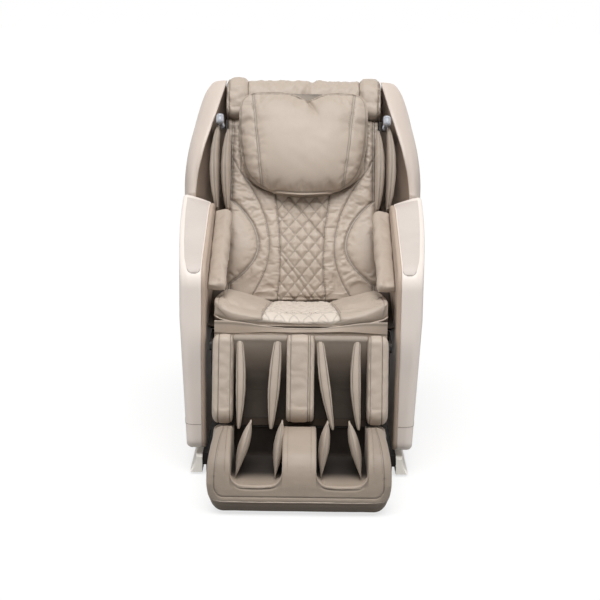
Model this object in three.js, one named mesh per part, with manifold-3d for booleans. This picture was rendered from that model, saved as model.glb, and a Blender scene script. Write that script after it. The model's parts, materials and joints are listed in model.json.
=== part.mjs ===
// A zero-gravity massage chair: a floor base, a seat unit with side panels that tilts back on it,
// a reclining backrest that holds the massage mechanism, and a leg rest with a foot unit that slides out.
// Millimetres, +Z up. The sitter faces -Y, and "left" is the sitter's left, at +X.
import * as THREE from "three";
import { mergeVertices } from "three/addons/utils/BufferGeometryUtils.js";
import Module from "manifold-3d";

const wasm = await Module();
wasm.setup();

// ---------- Driving dimensions ----------

const GAP = 0.3; // between faces that touch
const RUN = 0.9; // radial play of a shaft in its bore
const AIR = 4; // between pieces that pass each other

// Seat
const SEAT = { halfWidth: 258, front: -300, rear: 70, frontTop: 505, rearTop: 471 };
const SEAT_SIDE_RISE = 46; // the pad's sides stand above its middle
const SEAT_EDGE = 30; // thickness of the pad's front edge
const DECK = { halfWidth: 235, front: -260, rear: 100, bottom: 420, thick: 20 };
const FLAP = { thick: 5, bottom: 430 };
const BRACKET = 10; // thickness of the frames' side plates

// Pivots, as (y, z)
const BACK_PIVOT = { y: 130, z: 420 };
const TILT_PIVOT = { y: 160, z: 240 };
const LEG_PIVOT = { y: -345, z: 420 };
const BACK_ANGLE = 24; // degrees from upright, at rest
const LEG_ANGLE = 14; // the calf rest leans this far forward, at rest
const BACK_PIN = 10; // radii of the pins
const TILT_PIN = 12;
const LEG_PIN = 8;

// Base
const BASE = { front: -280, rear: 400, railIn: 252, railOut: 295, railBottom: 30, railTop: 65 };
const SKID = { inset: 10, front: -262, rear: 384 };
const TOWER_THICK = 12;
const SKIRT = { width: 38, topWidth: 20, top: 62, wall: 4, bottom: 8 };
const WHEEL = { radius: 32, width: 28, axle: 6, floorGap: 6 };
const WHEEL_Y = BASE.rear + WHEEL.radius + AIR;
const POWER_BOX = { halfWidth: 90, depth: 64, height: 92 };

// Side panels and arms
const ARM_INNER = 288; // inner face of each side panel
const PANEL_WALL = 6;
const LINING = 6;
const ARM = { frontY: -330, frontZ: 650, rearY: 150, rearZ: 814, bottom: 83 };
const ARM_OUT = { rear: 385, front: 361, floor: 340, shoulder: 480 };
const ARM_BEVEL = 15;
const ARM_PAD = { thick: 7, inset: 6 };
const CUSHION = { inner: 226, thick: 56, front: -250, rear: 130, dropFront: 84, dropRear: 44 };

// Backrest, in its own frame: z up along the back, y rearwards, origin on the pivot
const PAD = { halfWidth: 250, bottom: 27, top: 650, front: -62, channel: 7, lumbar: 16 };
const YOKE = { halfWidth: 246, top: 795, front: -80, rear: 62 };
const QUILT = { halfWidth: 73, columns: 5, row: 38 };
const FRAME = { tubeX: 200, tubeWidth: 30, depth: 46, bottom: -24, top: 742, cross: 36 };
const RAIL = { x: 118, width: 30, front: 38, depth: 42, lip: 6, bottom: 60, top: 620 };
const COVER = { halfWidth: 268, front: 62.5, rear: 150, wall: 5, bottom: 20, top: 765 };
const WING = { top: 790, bottom: 90, wall: 10, rear: 150, gap: 10, rimTop: 250, outTop: 278, outFull: 392 };
const PILLOW = { halfWidth: 212, bottom: 368, top: 724, front: -172, topFront: -118, notch: 26 };
const AIRBAG = { bottom: 322, top: 600, front: -158, thick: 32, inner: 252, outer: 289, earX: 253 };
const SPEAKER = { radius: 13, height: 36 };

// Massage mechanism, in the backrest's frame
const MECH = { z: 330, shaftY: 62, shaftR: 8, armX: 44, armThick: 12, reach: 70 };
const ROLLER = { radius: 22, width: 30, pin: 5.5, y: 40 };

// Leg rest, in its own frame: z up along the calf, y rearwards, origin on the pivot
const CALF = { halfWidth: 257.5, front: -62, rear: 47.7, top: 35, bottom: -227 };
const BOLSTER = { side: 62, centre: 81, round: 40, edge: 14 };
const CALF_BACK = { thick: 20, roll: 22 };
const CALF_PLATE = { thick: 6, bottom: -240 };
const CALF_LEAF = { inner: 79, outer: 171, thick: 28, top: -14, bottom: -222, front: -50 };
const SIDE_PLATE = 4;

// Foot unit, in the room's frame at rest
const FOOT = { halfWidth: 260, front: -650, rear: -335, bottom: 22, sole: 92, lip: 98, top: 222 };
const WELL = { inner: 46, outer: 190, rear: -366 };
const FOOT_LEAF = { inner: 72, outer: 150, thick: 30, bottom: 102, top: 258 };
const FOOT_PLATE = { halfWidth: 232, thick: 6, glideX: 145, glideR: 25 };
const GUIDE = { x: 225, y: 62, radius: 8, top: -40, sleeve: 50 };

// How far each main joint turns, in degrees
const TILT_RANGE = 20;
const RECLINE_RANGE = 40;
const LIFT_RANGE = 75;

// Linear drives, each with a fork whose pin lies in an oversize ring on the piece that it moves.
// play is the pin's free way in its ring, and arm is the ring in the moved unit's own frame.
const DRIVE = { barrel: 20, rod: 9, eye: 15, pin: 5, ring: 7, tongue: 8, prong: 5 };
const TILT_DRIVE = { from: { y: -200, z: 96 }, to: { y: -120, z: 330 }, x: 60, play: 4 };
const BACK_DRIVE = { from: { y: -170, z: 370 }, arm: { y: 10, z: -90 }, x: 0, play: 7 };
const LEG_DRIVE = { from: { y: 40, z: 380 }, arm: { y: 84, z: -20 }, x: -60, play: 15.5 };

// ---------- Materials ----------

const paint = (color, roughness, metalness = 0) =>
  new THREE.MeshStandardMaterial({ color, roughness, metalness });
const LEATHER = paint(0xc4b4a4, 0.5);
const LEATHER_LIGHT = paint(0xddd2c6, 0.48);
const SHELL = paint(0xddd4cc, 0.4);
const SHELL_WARM = paint(0xcfc3ba, 0.42);
const LINER = paint(0x4a3c30, 0.7);
const STEEL = paint(0x24211f, 0.5, 0.6);
const PLASTIC = paint(0x1d1b1a, 0.6);
const RUBBER = paint(0x0d0d0d, 0.85);
const CREAM = paint(0xd8d2c8, 0.45);
const ZINC = paint(0xb9bbbd, 0.3, 0.9);

// ---------- Geometry helpers ----------

const WELD = 1e-3;
const ROUND = 16; // sides of a full round
const SMALL = 12; // sides of a small one
const FEW = 8; // sides of a hidden one
const V = (x, y, z) => new THREE.Vector3(x, y, z);
const lerp = THREE.MathUtils.lerp;
const rad = THREE.MathUtils.degToRad;

// The geometry as a solid for cutting and joining.
function solid(geometry) {
  const bare = geometry.index ? geometry.toNonIndexed() : geometry.clone();
  bare.deleteAttribute("normal");
  bare.deleteAttribute("uv");
  const merged = mergeVertices(bare, WELD);
  const mesh = new wasm.Mesh({
    numProp: 3,
    vertProperties: merged.attributes.position.array,
    triVerts: new Uint32Array(merged.index.array),
  });
  return new wasm.Manifold(mesh);
}

function geometryOf(made) {
  const mesh = made.getMesh();
  return new THREE.BufferGeometry()
    .setAttribute("position", new THREE.BufferAttribute(Float32Array.from(mesh.vertProperties), 3))
    .setIndex(new THREE.BufferAttribute(Uint32Array.from(mesh.triVerts), 1));
}

const join = (first, ...others) => others.reduce((made, other) => made.add(other), first);
const cut = (first, ...others) => others.reduce((made, other) => made.subtract(other), first);

// A box between two corners.
function block([x0, x1], [y0, y1], [z0, z1]) {
  const box = new THREE.BoxGeometry(x1 - x0, y1 - y0, z1 - z0);
  return solid(box.translate((x0 + x1) / 2, (y0 + y1) / 2, (z0 + z1) / 2));
}

// A round bar along X, centred on (y, z).
function barX(radius, [x0, x1], y, z, sides = ROUND) {
  const bar = new THREE.CylinderGeometry(radius, radius, x1 - x0, sides);
  return solid(bar.rotateZ(-Math.PI / 2).translate((x0 + x1) / 2, y, z));
}

// A round bar between two points.
function barBetween(radius, from, to, sides = ROUND) {
  const along = to.clone().sub(from);
  const bar = new THREE.CylinderGeometry(radius, radius, along.length(), sides);
  const turn = new THREE.Quaternion().setFromUnitVectors(V(0, 1, 0), along.clone().normalize());
  const middle = from.clone().add(to).multiplyScalar(0.5);
  return solid(bar.applyQuaternion(turn).translate(middle.x, middle.y, middle.z));
}

// A plate between x0 and x1 whose outline is given in (y, z).
function plate(outline, [x0, x1]) {
  const shape = new THREE.Shape(outline.map(([y, z]) => new THREE.Vector2(y, z)));
  const made = new THREE.ExtrudeGeometry(shape, { depth: x1 - x0, bevelEnabled: false });
  const turn = new THREE.Matrix4().makeBasis(V(0, 1, 0), V(0, 0, 1), V(1, 0, 0));
  return solid(made.applyMatrix4(turn).translate(x0, 0, 0));
}

// The outline with each corner rounded: [y, z, reach] gives a corner, its arc starting at reach from it.
function rounded(corners, steps = 3) {
  const points = [];
  corners.forEach(([y, z, wanted = 0], i) => {
    const at = new THREE.Vector2(y, z);
    if (!wanted) {
      points.push([y, z]);
      return;
    }
    const back = new THREE.Vector2(...corners.at(i - 1).slice(0, 2)).sub(at);
    const ahead = new THREE.Vector2(...corners[(i + 1) % corners.length].slice(0, 2)).sub(at);
    const reach = Math.min(wanted, back.length() * 0.48, ahead.length() * 0.48);
    const half = back.angleTo(ahead) / 2;
    const middle = back.normalize().clone().add(ahead.normalize()).normalize();
    const centre = at.clone().addScaledVector(middle, reach / Math.cos(half));
    const start = at.clone().addScaledVector(back, reach);
    const sweep = -Math.sign(back.cross(ahead)) * (Math.PI - 2 * half);
    for (let k = 0; k <= steps; k++) {
      const p = start.clone().rotateAround(centre, (sweep * k) / steps);
      points.push([p.x, p.y]);
    }
  });
  return points;
}

// The outline moved inwards by distance; the outline runs anticlockwise seen from +X.
function inset(outline, distance) {
  return outline.map(([y, z], i) => {
    const [py, pz] = outline.at(i - 1);
    const [ny, nz] = outline[(i + 1) % outline.length];
    const a = new THREE.Vector2(y - py, z - pz).normalize();
    const b = new THREE.Vector2(ny - y, nz - z).normalize();
    const normal = new THREE.Vector2(-(a.y + b.y), a.x + b.x).normalize();
    const sharp = Math.max(0.5, normal.dot(new THREE.Vector2(-a.y, a.x)));
    return [y + (normal.x * distance) / sharp, z + (normal.y * distance) / sharp];
  });
}

// A closed skin through rings of equally many points, capped at both ends with a fan.
function loft(rings) {
  const count = rings[0].length;
  const points = rings.flat();
  const index = [];
  for (let r = 0; r + 1 < rings.length; r++) {
    for (let i = 0; i < count; i++) {
      const a = r * count + i;
      const b = r * count + ((i + 1) % count);
      index.push(a, b, b + count, a, b + count, a + count);
    }
  }
  const cap = (ring, start, flip) => {
    const flat = capPlane(ring);
    THREE.ShapeUtils.triangulateShape(flat, []).forEach(([a, b, c]) => {
      index.push(start + a, start + (flip ? c : b), start + (flip ? b : c));
    });
  };
  cap(rings[0], 0, true);
  cap(rings.at(-1), (rings.length - 1) * count, false);
  return closed(points, index);
}

// The ring's points in a plane of their own, for filling its inside.
function capPlane(ring) {
  const centre = ring.reduce((sum, p) => sum.add(p), V(0, 0, 0)).divideScalar(ring.length);
  const normal = V(0, 0, 0);
  ring.forEach((p, i) => {
    const next = ring[(i + 1) % ring.length];
    normal.add(p.clone().sub(centre).cross(next.clone().sub(centre)));
  });
  normal.normalize();
  const across = Math.abs(normal.x) < 0.9 ? V(1, 0, 0) : V(0, 1, 0);
  const u = across.sub(normal.clone().multiplyScalar(across.dot(normal))).normalize();
  const v = normal.clone().cross(u);
  return ring.map((p) => new THREE.Vector2(p.clone().sub(centre).dot(u), p.clone().sub(centre).dot(v)));
}

// Points and faces as a solid, turned outwards if the caps or sides came out facing in.
function closed(points, index) {
  const geometry = new THREE.BufferGeometry().setFromPoints(points).setIndex(index);
  const volume = signedVolume(points, index);
  if (volume < 0) {
    for (let i = 0; i < index.length; i += 3) [index[i + 1], index[i + 2]] = [index[i + 2], index[i + 1]];
    geometry.setIndex(index);
  }
  return solid(geometry);
}

function signedVolume(points, index) {
  let total = 0;
  for (let i = 0; i < index.length; i += 3) {
    const [a, b, c] = [points[index[i]], points[index[i + 1]], points[index[i + 2]]];
    total += a.dot(b.clone().cross(c)) / 6;
  }
  return total;
}

const mirrored = (made) => made.mirror([1, 0, 0]);

// ---------- The scene graph ----------

const chair = new THREE.Group();
const baseUnit = new THREE.Group();
const seatUnit = new THREE.Group();
const backUnit = new THREE.Group();
const legUnit = new THREE.Group();
const footUnit = new THREE.Group();
chair.add(baseUnit, seatUnit, backUnit, legUnit, footUnit);
backUnit.position.set(0, BACK_PIVOT.y, BACK_PIVOT.z);
backUnit.rotation.x = -rad(BACK_ANGLE);
legUnit.position.set(0, LEG_PIVOT.y, LEG_PIVOT.z);
legUnit.rotation.x = -rad(LEG_ANGLE);

function add(group, name, material, made) {
  const mesh = new THREE.Mesh(geometryOf(made), material);
  mesh.name = name;
  group.add(mesh);
}

function addPair(group, name, material, made) {
  add(group, `${name}_left`, material, made);
  add(group, `${name}_right`, material, mirrored(made));
}

// A (y, z) point of the backrest's or the leg rest's frame, in the room's frame.
function inRoom(pivot, angle, { y, z }) {
  const c = Math.cos(rad(angle));
  const s = Math.sin(rad(angle));
  return { y: pivot.y + y * c + z * s, z: pivot.z - y * s + z * c };
}

function fromRoom(pivot, angle, { y, z }) {
  const c = Math.cos(rad(angle));
  const s = Math.sin(rad(angle));
  return { y: (y - pivot.y) * c - (z - pivot.z) * s, z: (y - pivot.y) * s + (z - pivot.z) * c };
}

// ---------- Linear drives ----------

// A point turned back by degrees about a pivot, as the main joints turn.
function turned(point, pivot, degrees) {
  return inRoom(pivot, degrees, { y: point.y - pivot.y, z: point.z - pivot.z });
}

const apart = (a, b) => Math.hypot(a.y - b.y, a.z - b.z);
const ringRadius = (play) => DRIVE.pin + play + DRIVE.ring;

// A barrel hung on a pin at from, and a rod whose forked end carries a pin at to.
// shorter is how far the rod goes in when the drive runs.
function drive(from, to, { x, play }, shorter) {
  const start = V(x, from.y, from.z);
  const along = V(x, to.y, to.z).sub(start);
  const length = along.length();
  const at = (distance, dx = 0) => start.clone().addScaledVector(along, distance / length).add(V(dx, 0, 0));
  const barrelEnd = length * 0.64;
  const halfEye = DRIVE.tongue / 2;
  const eye = barX(DRIVE.eye, [x - halfEye, x + halfEye], from.y, from.z, SMALL);
  const neck = barBetween(halfEye, at(0), at(DRIVE.barrel + AIR), FEW);
  const housing = barBetween(DRIVE.barrel, at(DRIVE.barrel), at(barrelEnd));
  const boreStart = DRIVE.barrel + AIR * 3;
  const bore = barBetween(DRIVE.rod + RUN, at(boreStart), at(barrelEnd + AIR), SMALL);
  const pinHole = barX(DRIVE.pin + RUN, [x - DRIVE.eye, x + DRIVE.eye], from.y, from.z, SMALL);
  const barrel = cut(join(housing, eye, neck), bore, pinHole);
  const bridge = length - ringRadius(play) - play - AIR - DRIVE.prong;
  const reachX = DRIVE.tongue / 2 + AIR + DRIVE.prong;
  const across = (radius, distance) => {
    const middle = at(distance);
    return barX(radius, [x - reachX, x + reachX], middle.y, middle.z, SMALL);
  };
  const prong = (side) =>
    barBetween(DRIVE.prong, at(bridge, side * reachX), at(length + DRIVE.prong, side * reachX), FEW);
  const shaft = barBetween(DRIVE.rod, at(boreStart + AIR + shorter), at(bridge), SMALL);
  const fork = join(across(DRIVE.prong * 1.4, bridge), prong(1), prong(-1), across(DRIVE.pin, length));
  return { barrel, rod: join(shaft, fork) };
}

// The ears and pin that carry a drive's barrel at (y, z), reaching to a face at height reachZ.
function ears({ y, z }, x, reachZ) {
  const inner = DRIVE.tongue / 2 + GAP * 4;
  const outer = inner + DRIVE.prong;
  const [low, high] = reachZ < z ? [reachZ, z + DRIVE.eye * 0.8] : [z - DRIVE.eye * 0.8, reachZ];
  const half = DRIVE.eye * 0.9;
  const ear = (side) => {
    const xs = side > 0 ? [x + inner, x + outer] : [x - outer, x - inner];
    return block(xs, [y - half, y + half], [low, high]);
  };
  return join(ear(1), ear(-1), barX(DRIVE.pin, [x - outer, x + outer], y, z, SMALL));
}

// The ring for a rod's pin at (y, z), on an arm that reaches to the piece that it moves.
function ring({ y, z }, { x, play }, arm) {
  const half = DRIVE.tongue / 2;
  const disc = barX(ringRadius(play), [x - half, x + half], y, z);
  return cut(join(arm, disc), barX(DRIVE.pin + play, [x - half - 1, x + half + 1], y, z));
}

// ---------- Base ----------

function baseFrame() {
  const { front, rear, railIn, railOut, railBottom, railTop } = BASE;
  const height = [railBottom, railTop];
  const rail = block([railIn, railOut], [front, rear], height);
  const crossDepth = 34;
  const cross = (y) => block([-railIn - 1, railIn + 1], [y, y + crossDepth], height);
  const towerX = [railIn, railIn + TOWER_THICK];
  const towerTop = TILT_PIVOT.z + TILT_PIN * 1.7;
  const tower = join(
    plate(
      rounded([
        [TILT_PIVOT.y - 90, railTop - 1],
        [TILT_PIVOT.y + 90, railTop - 1],
        [TILT_PIVOT.y + 22, towerTop, 16],
        [TILT_PIVOT.y - 22, towerTop, 16],
      ]),
      towerX,
    ),
    barX(TILT_PIN, [DECK.halfWidth - 6, railIn + 1], TILT_PIVOT.y, TILT_PIVOT.z),
  );
  const wheelZ = WHEEL.radius + WHEEL.floorGap;
  const earX = [railIn, railIn + 7];
  const wheelEar = join(
    block(earX, [rear - 1, WHEEL_Y + 14], [wheelZ - 12, railTop]),
    barX(WHEEL.axle, [earX[0], railIn + WHEEL.width + 16], WHEEL_Y, wheelZ),
    barX(WHEEL.axle * 1.7, [railIn + WHEEL.width + 12, railIn + WHEEL.width + 16], WHEEL_Y, wheelZ),
  );
  const side = join(rail, tower, wheelEar);
  const driveCross = TILT_DRIVE.from.y - crossDepth / 2;
  return join(
    side,
    mirrored(side),
    cross(front),
    cross(driveCross),
    cross(rear - crossDepth),
    ears(TILT_DRIVE.from, TILT_DRIVE.x, railTop - 1),
  );
}

// The skirt beside each rail: a thin flared profile with a closed front end.
function baseSkirt() {
  const inner = BASE.railOut + GAP;
  const { width, topWidth, top, wall, bottom } = SKIRT;
  const flared = (offset) =>
    [0, 0.25, 0.5, 0.75, 1].map((t) => [
      inner + lerp(topWidth, width, t ** 2.2) - offset,
      lerp(top - offset, bottom, t),
    ]);
  const profile = (offset) => [
    [inner + offset, bottom],
    ...flared(offset).reverse(),
    [inner + offset, top - offset],
  ];
  const ring = (y, scale, offset) =>
    profile(offset).map(([x, z]) => V(inner + (x - inner) * scale, y, lerp(bottom, z, scale)));
  const start = BASE.front - 8;
  const outer = loft([ring(start, 0.9, 0), ring(start + 14, 1, 0), ring(BASE.rear, 1, 0)]);
  const room = loft([
    ring(start + wall, 0.9, wall),
    ring(start + 14 + wall, 1, wall),
    ring(BASE.rear - wall, 1, wall),
  ]).translate([0, 0, -wall]);
  return cut(outer, room);
}

function skid() {
  const { inset: side, front, rear } = SKID;
  return block([BASE.railIn + side, BASE.railOut - side], [front, rear], [0, BASE.railBottom - GAP]);
}

function wheel() {
  const half = WHEEL.width / 2;
  const bore = WHEEL.axle + RUN;
  const profile = [
    [bore, -half],
    [WHEEL.radius - 3, -half],
    [WHEEL.radius, -half + 5],
    [WHEEL.radius, half - 5],
    [WHEEL.radius - 3, half],
    [bore, half],
    [bore, -half],
  ].map(([r, y]) => new THREE.Vector2(r, y));
  const tyre = new THREE.LatheGeometry(profile, ROUND).rotateZ(-Math.PI / 2);
  const x = BASE.railIn + 9 + half;
  return solid(tyre.translate(x, WHEEL_Y, WHEEL.radius + WHEEL.floorGap));
}

// The mains box on the rear cross member, with a recess for the inlet and one for the switch.
const boxRear = BASE.rear - 6;
const SWITCH = { x: 52, z: 52, halfWidth: 14, halfHeight: 10, recess: 14, swing: 1.8 };
const INLET = { x: -40, z: 50, halfWidth: 24, halfHeight: 14, depth: 20 };
const INLET_PIN = { pitch: 9, thick: 3, rise: 8, setBack: 4 };

function powerBox() {
  const { halfWidth, depth, height } = POWER_BOX;
  const low = BASE.railTop + GAP;
  const body = block([-halfWidth, halfWidth], [boxRear - depth, boxRear], [low, low + height]);
  const about = (middle, half) => [middle - half, middle + half];
  const hole = ({ x, z, halfWidth: w, halfHeight: h }, deep, side, room) =>
    block(about(x, w + side), [boxRear - deep, boxRear + 1], about(low + z, h + room));
  const { pitch, thick, rise, setBack } = INLET_PIN;
  const pins = [-pitch, 0, pitch].map((dx) =>
    block(
      about(INLET.x + dx, thick / 2),
      [boxRear - INLET.depth - 1, boxRear - setBack],
      about(low + INLET.z - 2, rise / 2),
    ),
  );
  const holes = [hole(INLET, INLET.depth, 0, 0), hole(SWITCH, SWITCH.recess, GAP, SWITCH.swing)];
  return join(cut(body, ...holes), ...pins);
}

// A rocker whose face is a shallow V, turning about its own centre line.
function powerSwitch() {
  const z = BASE.railTop + GAP + SWITCH.z;
  const h = SWITCH.halfHeight;
  const outline = [
    [boxRear - 7, z - h],
    [boxRear + 3, z - h],
    [boxRear, z],
    [boxRear + 1, z + h],
    [boxRear - 7, z + h],
    [boxRear - 12.5, z],
  ];
  return plate(outline, [SWITCH.x - SWITCH.halfWidth, SWITCH.x + SWITCH.halfWidth]);
}

function buildBase() {
  add(baseUnit, "base_frame", STEEL, baseFrame());
  addPair(baseUnit, "base_skirt", CREAM, baseSkirt());
  addPair(baseUnit, "floor_skid", RUBBER, skid());
  addPair(baseUnit, "transport_wheel", RUBBER, wheel());
  add(baseUnit, "power_box", PLASTIC, powerBox());
  add(baseUnit, "power_switch", PLASTIC, powerSwitch());
  const { barrel, rod } = drive(TILT_DRIVE.from, TILT_DRIVE.to, TILT_DRIVE, 0);
  add(baseUnit, "tilt_drive_barrel", PLASTIC, barrel);
  add(baseUnit, "tilt_drive_rod", ZINC, rod);
}

// ---------- Seat unit ----------

const deckTop = DECK.bottom + DECK.thick;

function seatFrame() {
  const { halfWidth, front, rear, bottom } = DECK;
  const deck = block([-halfWidth, halfWidth], [front, rear], [bottom, deckTop]);
  const plateX = [halfWidth, halfWidth + BRACKET];
  const backPlate = cut(
    join(
      plate(
        rounded([
          [20, bottom],
          [TILT_PIVOT.y - 34, TILT_PIVOT.z + 12],
          [TILT_PIVOT.y - 16, TILT_PIVOT.z - 24, 12],
          [TILT_PIVOT.y + 16, TILT_PIVOT.z - 24, 12],
          [TILT_PIVOT.y + 30, TILT_PIVOT.z + 40, 12],
          [BACK_PIVOT.y + 20, BACK_PIVOT.z + 18, 16],
          [BACK_PIVOT.y - 20, BACK_PIVOT.z + 20, 12],
          [20, deckTop],
        ]),
        plateX,
      ),
      barX(BACK_PIN, [FRAME.tubeX + 2, halfWidth + 1], BACK_PIVOT.y, BACK_PIVOT.z),
    ),
    barX(TILT_PIN + RUN, [halfWidth - 2, halfWidth + BRACKET + 2], TILT_PIVOT.y, TILT_PIVOT.z),
  );
  const legX = CALF.halfWidth + SIDE_PLATE + GAP + 1.5;
  const legArm = join(
    block([halfWidth - 1, legX + 6], [front, front + 46], [bottom, deckTop]),
    plate(
      rounded([
        [front + 46, bottom],
        [front + 46, deckTop],
        [front, deckTop],
        [LEG_PIVOT.y - 8, LEG_PIVOT.z + 14, 8],
        [LEG_PIVOT.y - 14, LEG_PIVOT.z - 14, 10],
        [front, bottom - 8],
      ]),
      [legX, legX + 6],
    ),
    barX(LEG_PIN, [CALF.halfWidth + GAP * 2, legX + 1], LEG_PIVOT.y, LEG_PIVOT.z),
  );
  const panelX = ARM_INNER - LINING - GAP * 2;
  const carrier = (y) => block([halfWidth - 1, panelX], [y, y + 40], [bottom, bottom + 14]);
  const side = join(backPlate, legArm, carrier(-120), carrier(-20));
  const tiltReach = block(
    [TILT_DRIVE.x - DRIVE.tongue / 2, TILT_DRIVE.x + DRIVE.tongue / 2],
    [TILT_DRIVE.to.y - 10, TILT_DRIVE.to.y + 10],
    [TILT_DRIVE.to.z, bottom + 1],
  );
  return join(
    deck,
    side,
    mirrored(side),
    ring(TILT_DRIVE.to, TILT_DRIVE, tiltReach),
    ears(BACK_DRIVE.from, BACK_DRIVE.x, bottom + 1),
    ears(LEG_DRIVE.from, LEG_DRIVE.x, bottom + 1),
  );
}

// Height of the seat pad's top above its middle line, and how far its underside rises at the sides.
const SEAT_SEAM = 0.43; // the seams beside the quilted middle, as a share of the half width
const SEAT_ROLL = 0.86; // where the rounded side starts, as a share of the half width
const rollShare = (c) => Math.max(0, (Math.abs(c) - SEAT_ROLL) / (1 - SEAT_ROLL));
const seatSide = (x) => SEAT_SIDE_RISE * Math.abs(x / SEAT.halfWidth) ** 2.4;
const seatUnder = (x) => 30 * Math.max(0, Math.abs(x) / SEAT.halfWidth - 0.45) ** 1.6;

function seatPad() {
  const half = [0.2, SEAT_SEAM - 0.03, SEAT_SEAM, SEAT_SEAM + 0.03, 0.66, SEAT_ROLL, 0.97, 1];
  const columns = [...half.map((c) => -c).reverse(), 0, ...half];
  const rows = [0, 0.03, 0.08, 0.2, 0.4, 0.6, 0.8, 0.93, 1];
  const depth = SEAT.rear - SEAT.front;
  const rings = rows.map((t) => {
    const y = SEAT.front + depth * t;
    const edge = Math.min(1, Math.min(t, 1 - t) / 0.08);
    const crown = 9 * Math.sin(Math.PI * Math.min(1, t * 1.1)) ** 0.7;
    const line = lerp(SEAT.frontTop, SEAT.rearTop, t);
    const top = columns.map((c) => {
      const x = c * SEAT.halfWidth;
      const dip = Math.abs(Math.abs(c) - SEAT_SEAM) < 0.01 ? 5 : 0;
      const round = 16 * (1 - Math.sqrt(1 - rollShare(c) ** 2));
      return V(x, y, line + seatSide(x) + (crown - dip) * edge - round - 8 * (1 - edge) ** 2);
    });
    const frontLift = (SEAT.frontTop - SEAT_EDGE - deckTop) * Math.max(0, 1 - t / 0.11);
    const rearLift = 10 * (1 - Math.min(1, (1 - t) / 0.08));
    const base = deckTop + GAP + frontLift + rearLift;
    const under = [...columns].reverse().map((c) => {
      const x = c * SEAT.halfWidth;
      return V(x, y, base + seatUnder(x) + 12 * rollShare(c));
    });
    return [...top, ...under];
  });
  return loft(rings);
}

// The leather flap that hangs under the seat's front edge, behind the calf rest.
function seatFlap() {
  const back = DECK.front - GAP;
  const front = SEAT.front - FLAP.thick - 1;
  const top = SEAT.frontTop - SEAT_EDGE - AIR * 2;
  return plate(
    [
      [back, DECK.bottom + 5],
      [front + FLAP.thick, top - 12],
      [front + FLAP.thick, FLAP.bottom],
      [front, FLAP.bottom + 2],
      [front, top - 4],
      [front + FLAP.thick, top],
      [back, DECK.bottom + 16],
    ],
    [-SEAT.halfWidth, SEAT.halfWidth],
  );
}

// Side outline of a panel, anticlockwise seen from +X.
const PANEL_OUTLINE = rounded(
  [
    [-300, ARM.bottom, 30],
    [100, ARM.bottom, 40],
    [300, ARM.bottom + 30, 30],
    [BACK_PIVOT.y + 105, BACK_PIVOT.z - 150, 30],
    [BACK_PIVOT.y + 40, BACK_PIVOT.z + 10, 60],
    [ARM.rearY, ARM.rearZ, 34],
    [ARM.frontY, ARM.frontZ, 60],
    [ARM.frontY - 6, 420, 60],
  ],
  3,
);

// Outer half width of the side panels at (y, z).
function armOut(y, z) {
  const span = ARM.rearY + 300;
  const back = THREE.MathUtils.clamp((ARM.rearY - y) / span, 0, 1.08);
  const width = ARM_OUT.rear - (ARM_OUT.rear - ARM_OUT.front) * back ** 2;
  const low = Math.max(0, ARM_OUT.shoulder - z) / (ARM_OUT.shoulder - ARM.bottom);
  return width - (ARM_OUT.front - ARM_OUT.floor) * low;
}

// A panel with a rounded outer edge: from x0 out to armOut less offset, its outline moved in by offset.
function panelBody(x0, offset) {
  const edge = inset(PANEL_OUTLINE, offset);
  const ring = (inward, outward) =>
    inset(edge, inward).map(([y, z]) => V(armOut(y, z) - offset - outward, y, z));
  const inner = edge.map(([y, z]) => V(x0, y, z));
  return loft([inner, ring(0, ARM_BEVEL), ring(ARM_BEVEL * 0.3, ARM_BEVEL * 0.3), ring(ARM_BEVEL, 0)]);
}

const armTop = (y) => lerp(ARM.frontZ, ARM.rearZ, (y - ARM.frontY) / (ARM.rearY - ARM.frontY));

// The leather pad let into the top of the arm, rounded over at its front end.
function armTopPad() {
  const rows = [ARM.frontY + 34, ARM.frontY + 38, ARM.frontY + 54, -160, -40, ARM.rearY - 46, ARM.rearY - 40];
  const rings = rows.map((y, i) => {
    const first = i === 0 || i === rows.length - 1;
    const low = armTop(y) + GAP;
    const high = low + (first ? 2 : ARM_PAD.thick);
    const soft = (high - low) * 0.45;
    const x0 = ARM_INNER + ARM_PAD.inset + (i === 0 ? 14 : 0);
    const x1 = armOut(y, armTop(y)) - ARM_BEVEL - 2 - (i === 0 ? 14 : 0);
    const outline = [
      [x0, low],
      [x1, low],
      [x1, high - soft],
      [x1 - soft, high],
      [x0 + soft, high],
      [x0, high - soft],
    ];
    return outline.map(([x, z]) => V(x, y, z));
  });
  return loft(rings);
}

// The forearm cushion inside each panel: a soft bar that follows the arm's slope.
function armCushion() {
  const outer = ARM_INNER - LINING - GAP * 2;
  const steps = [0, 0.02, 0.06, 0.3, 0.6, 0.94, 0.98, 1];
  const rings = steps.map((t) => {
    const y = lerp(CUSHION.front, CUSHION.rear, t);
    const top = lerp(armTop(CUSHION.front) - CUSHION.dropFront, armTop(CUSHION.rear) - CUSHION.dropRear, t);
    const end = 1 - Math.min(1, Math.min(t, 1 - t) / 0.06);
    const draw = 12 * end ** 2;
    const low = top - CUSHION.thick + draw;
    const high = top - draw;
    const inner = CUSHION.inner + draw;
    const outline = [
      [outer, low + 4],
      [outer, high - 4],
      [outer - 8, high],
      [(inner + outer) / 2, high + 4 * (1 - end)],
      [inner + 10, high - 2],
      [inner, high - 12],
      [inner - 2 + 2 * end, (low + high) / 2],
      [inner + 2, low + 10],
      [inner + 10, low],
    ];
    return outline.map(([x, z]) => V(x, y, z));
  });
  return loft(rings);
}

// Air pump and control electronics in one case, hung under the deck.
const PUMP = { x: -215, y: -215, width: 100, depth: 120, height: 96, ribs: 3, ribWidth: 12, ribRise: 6 };

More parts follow.
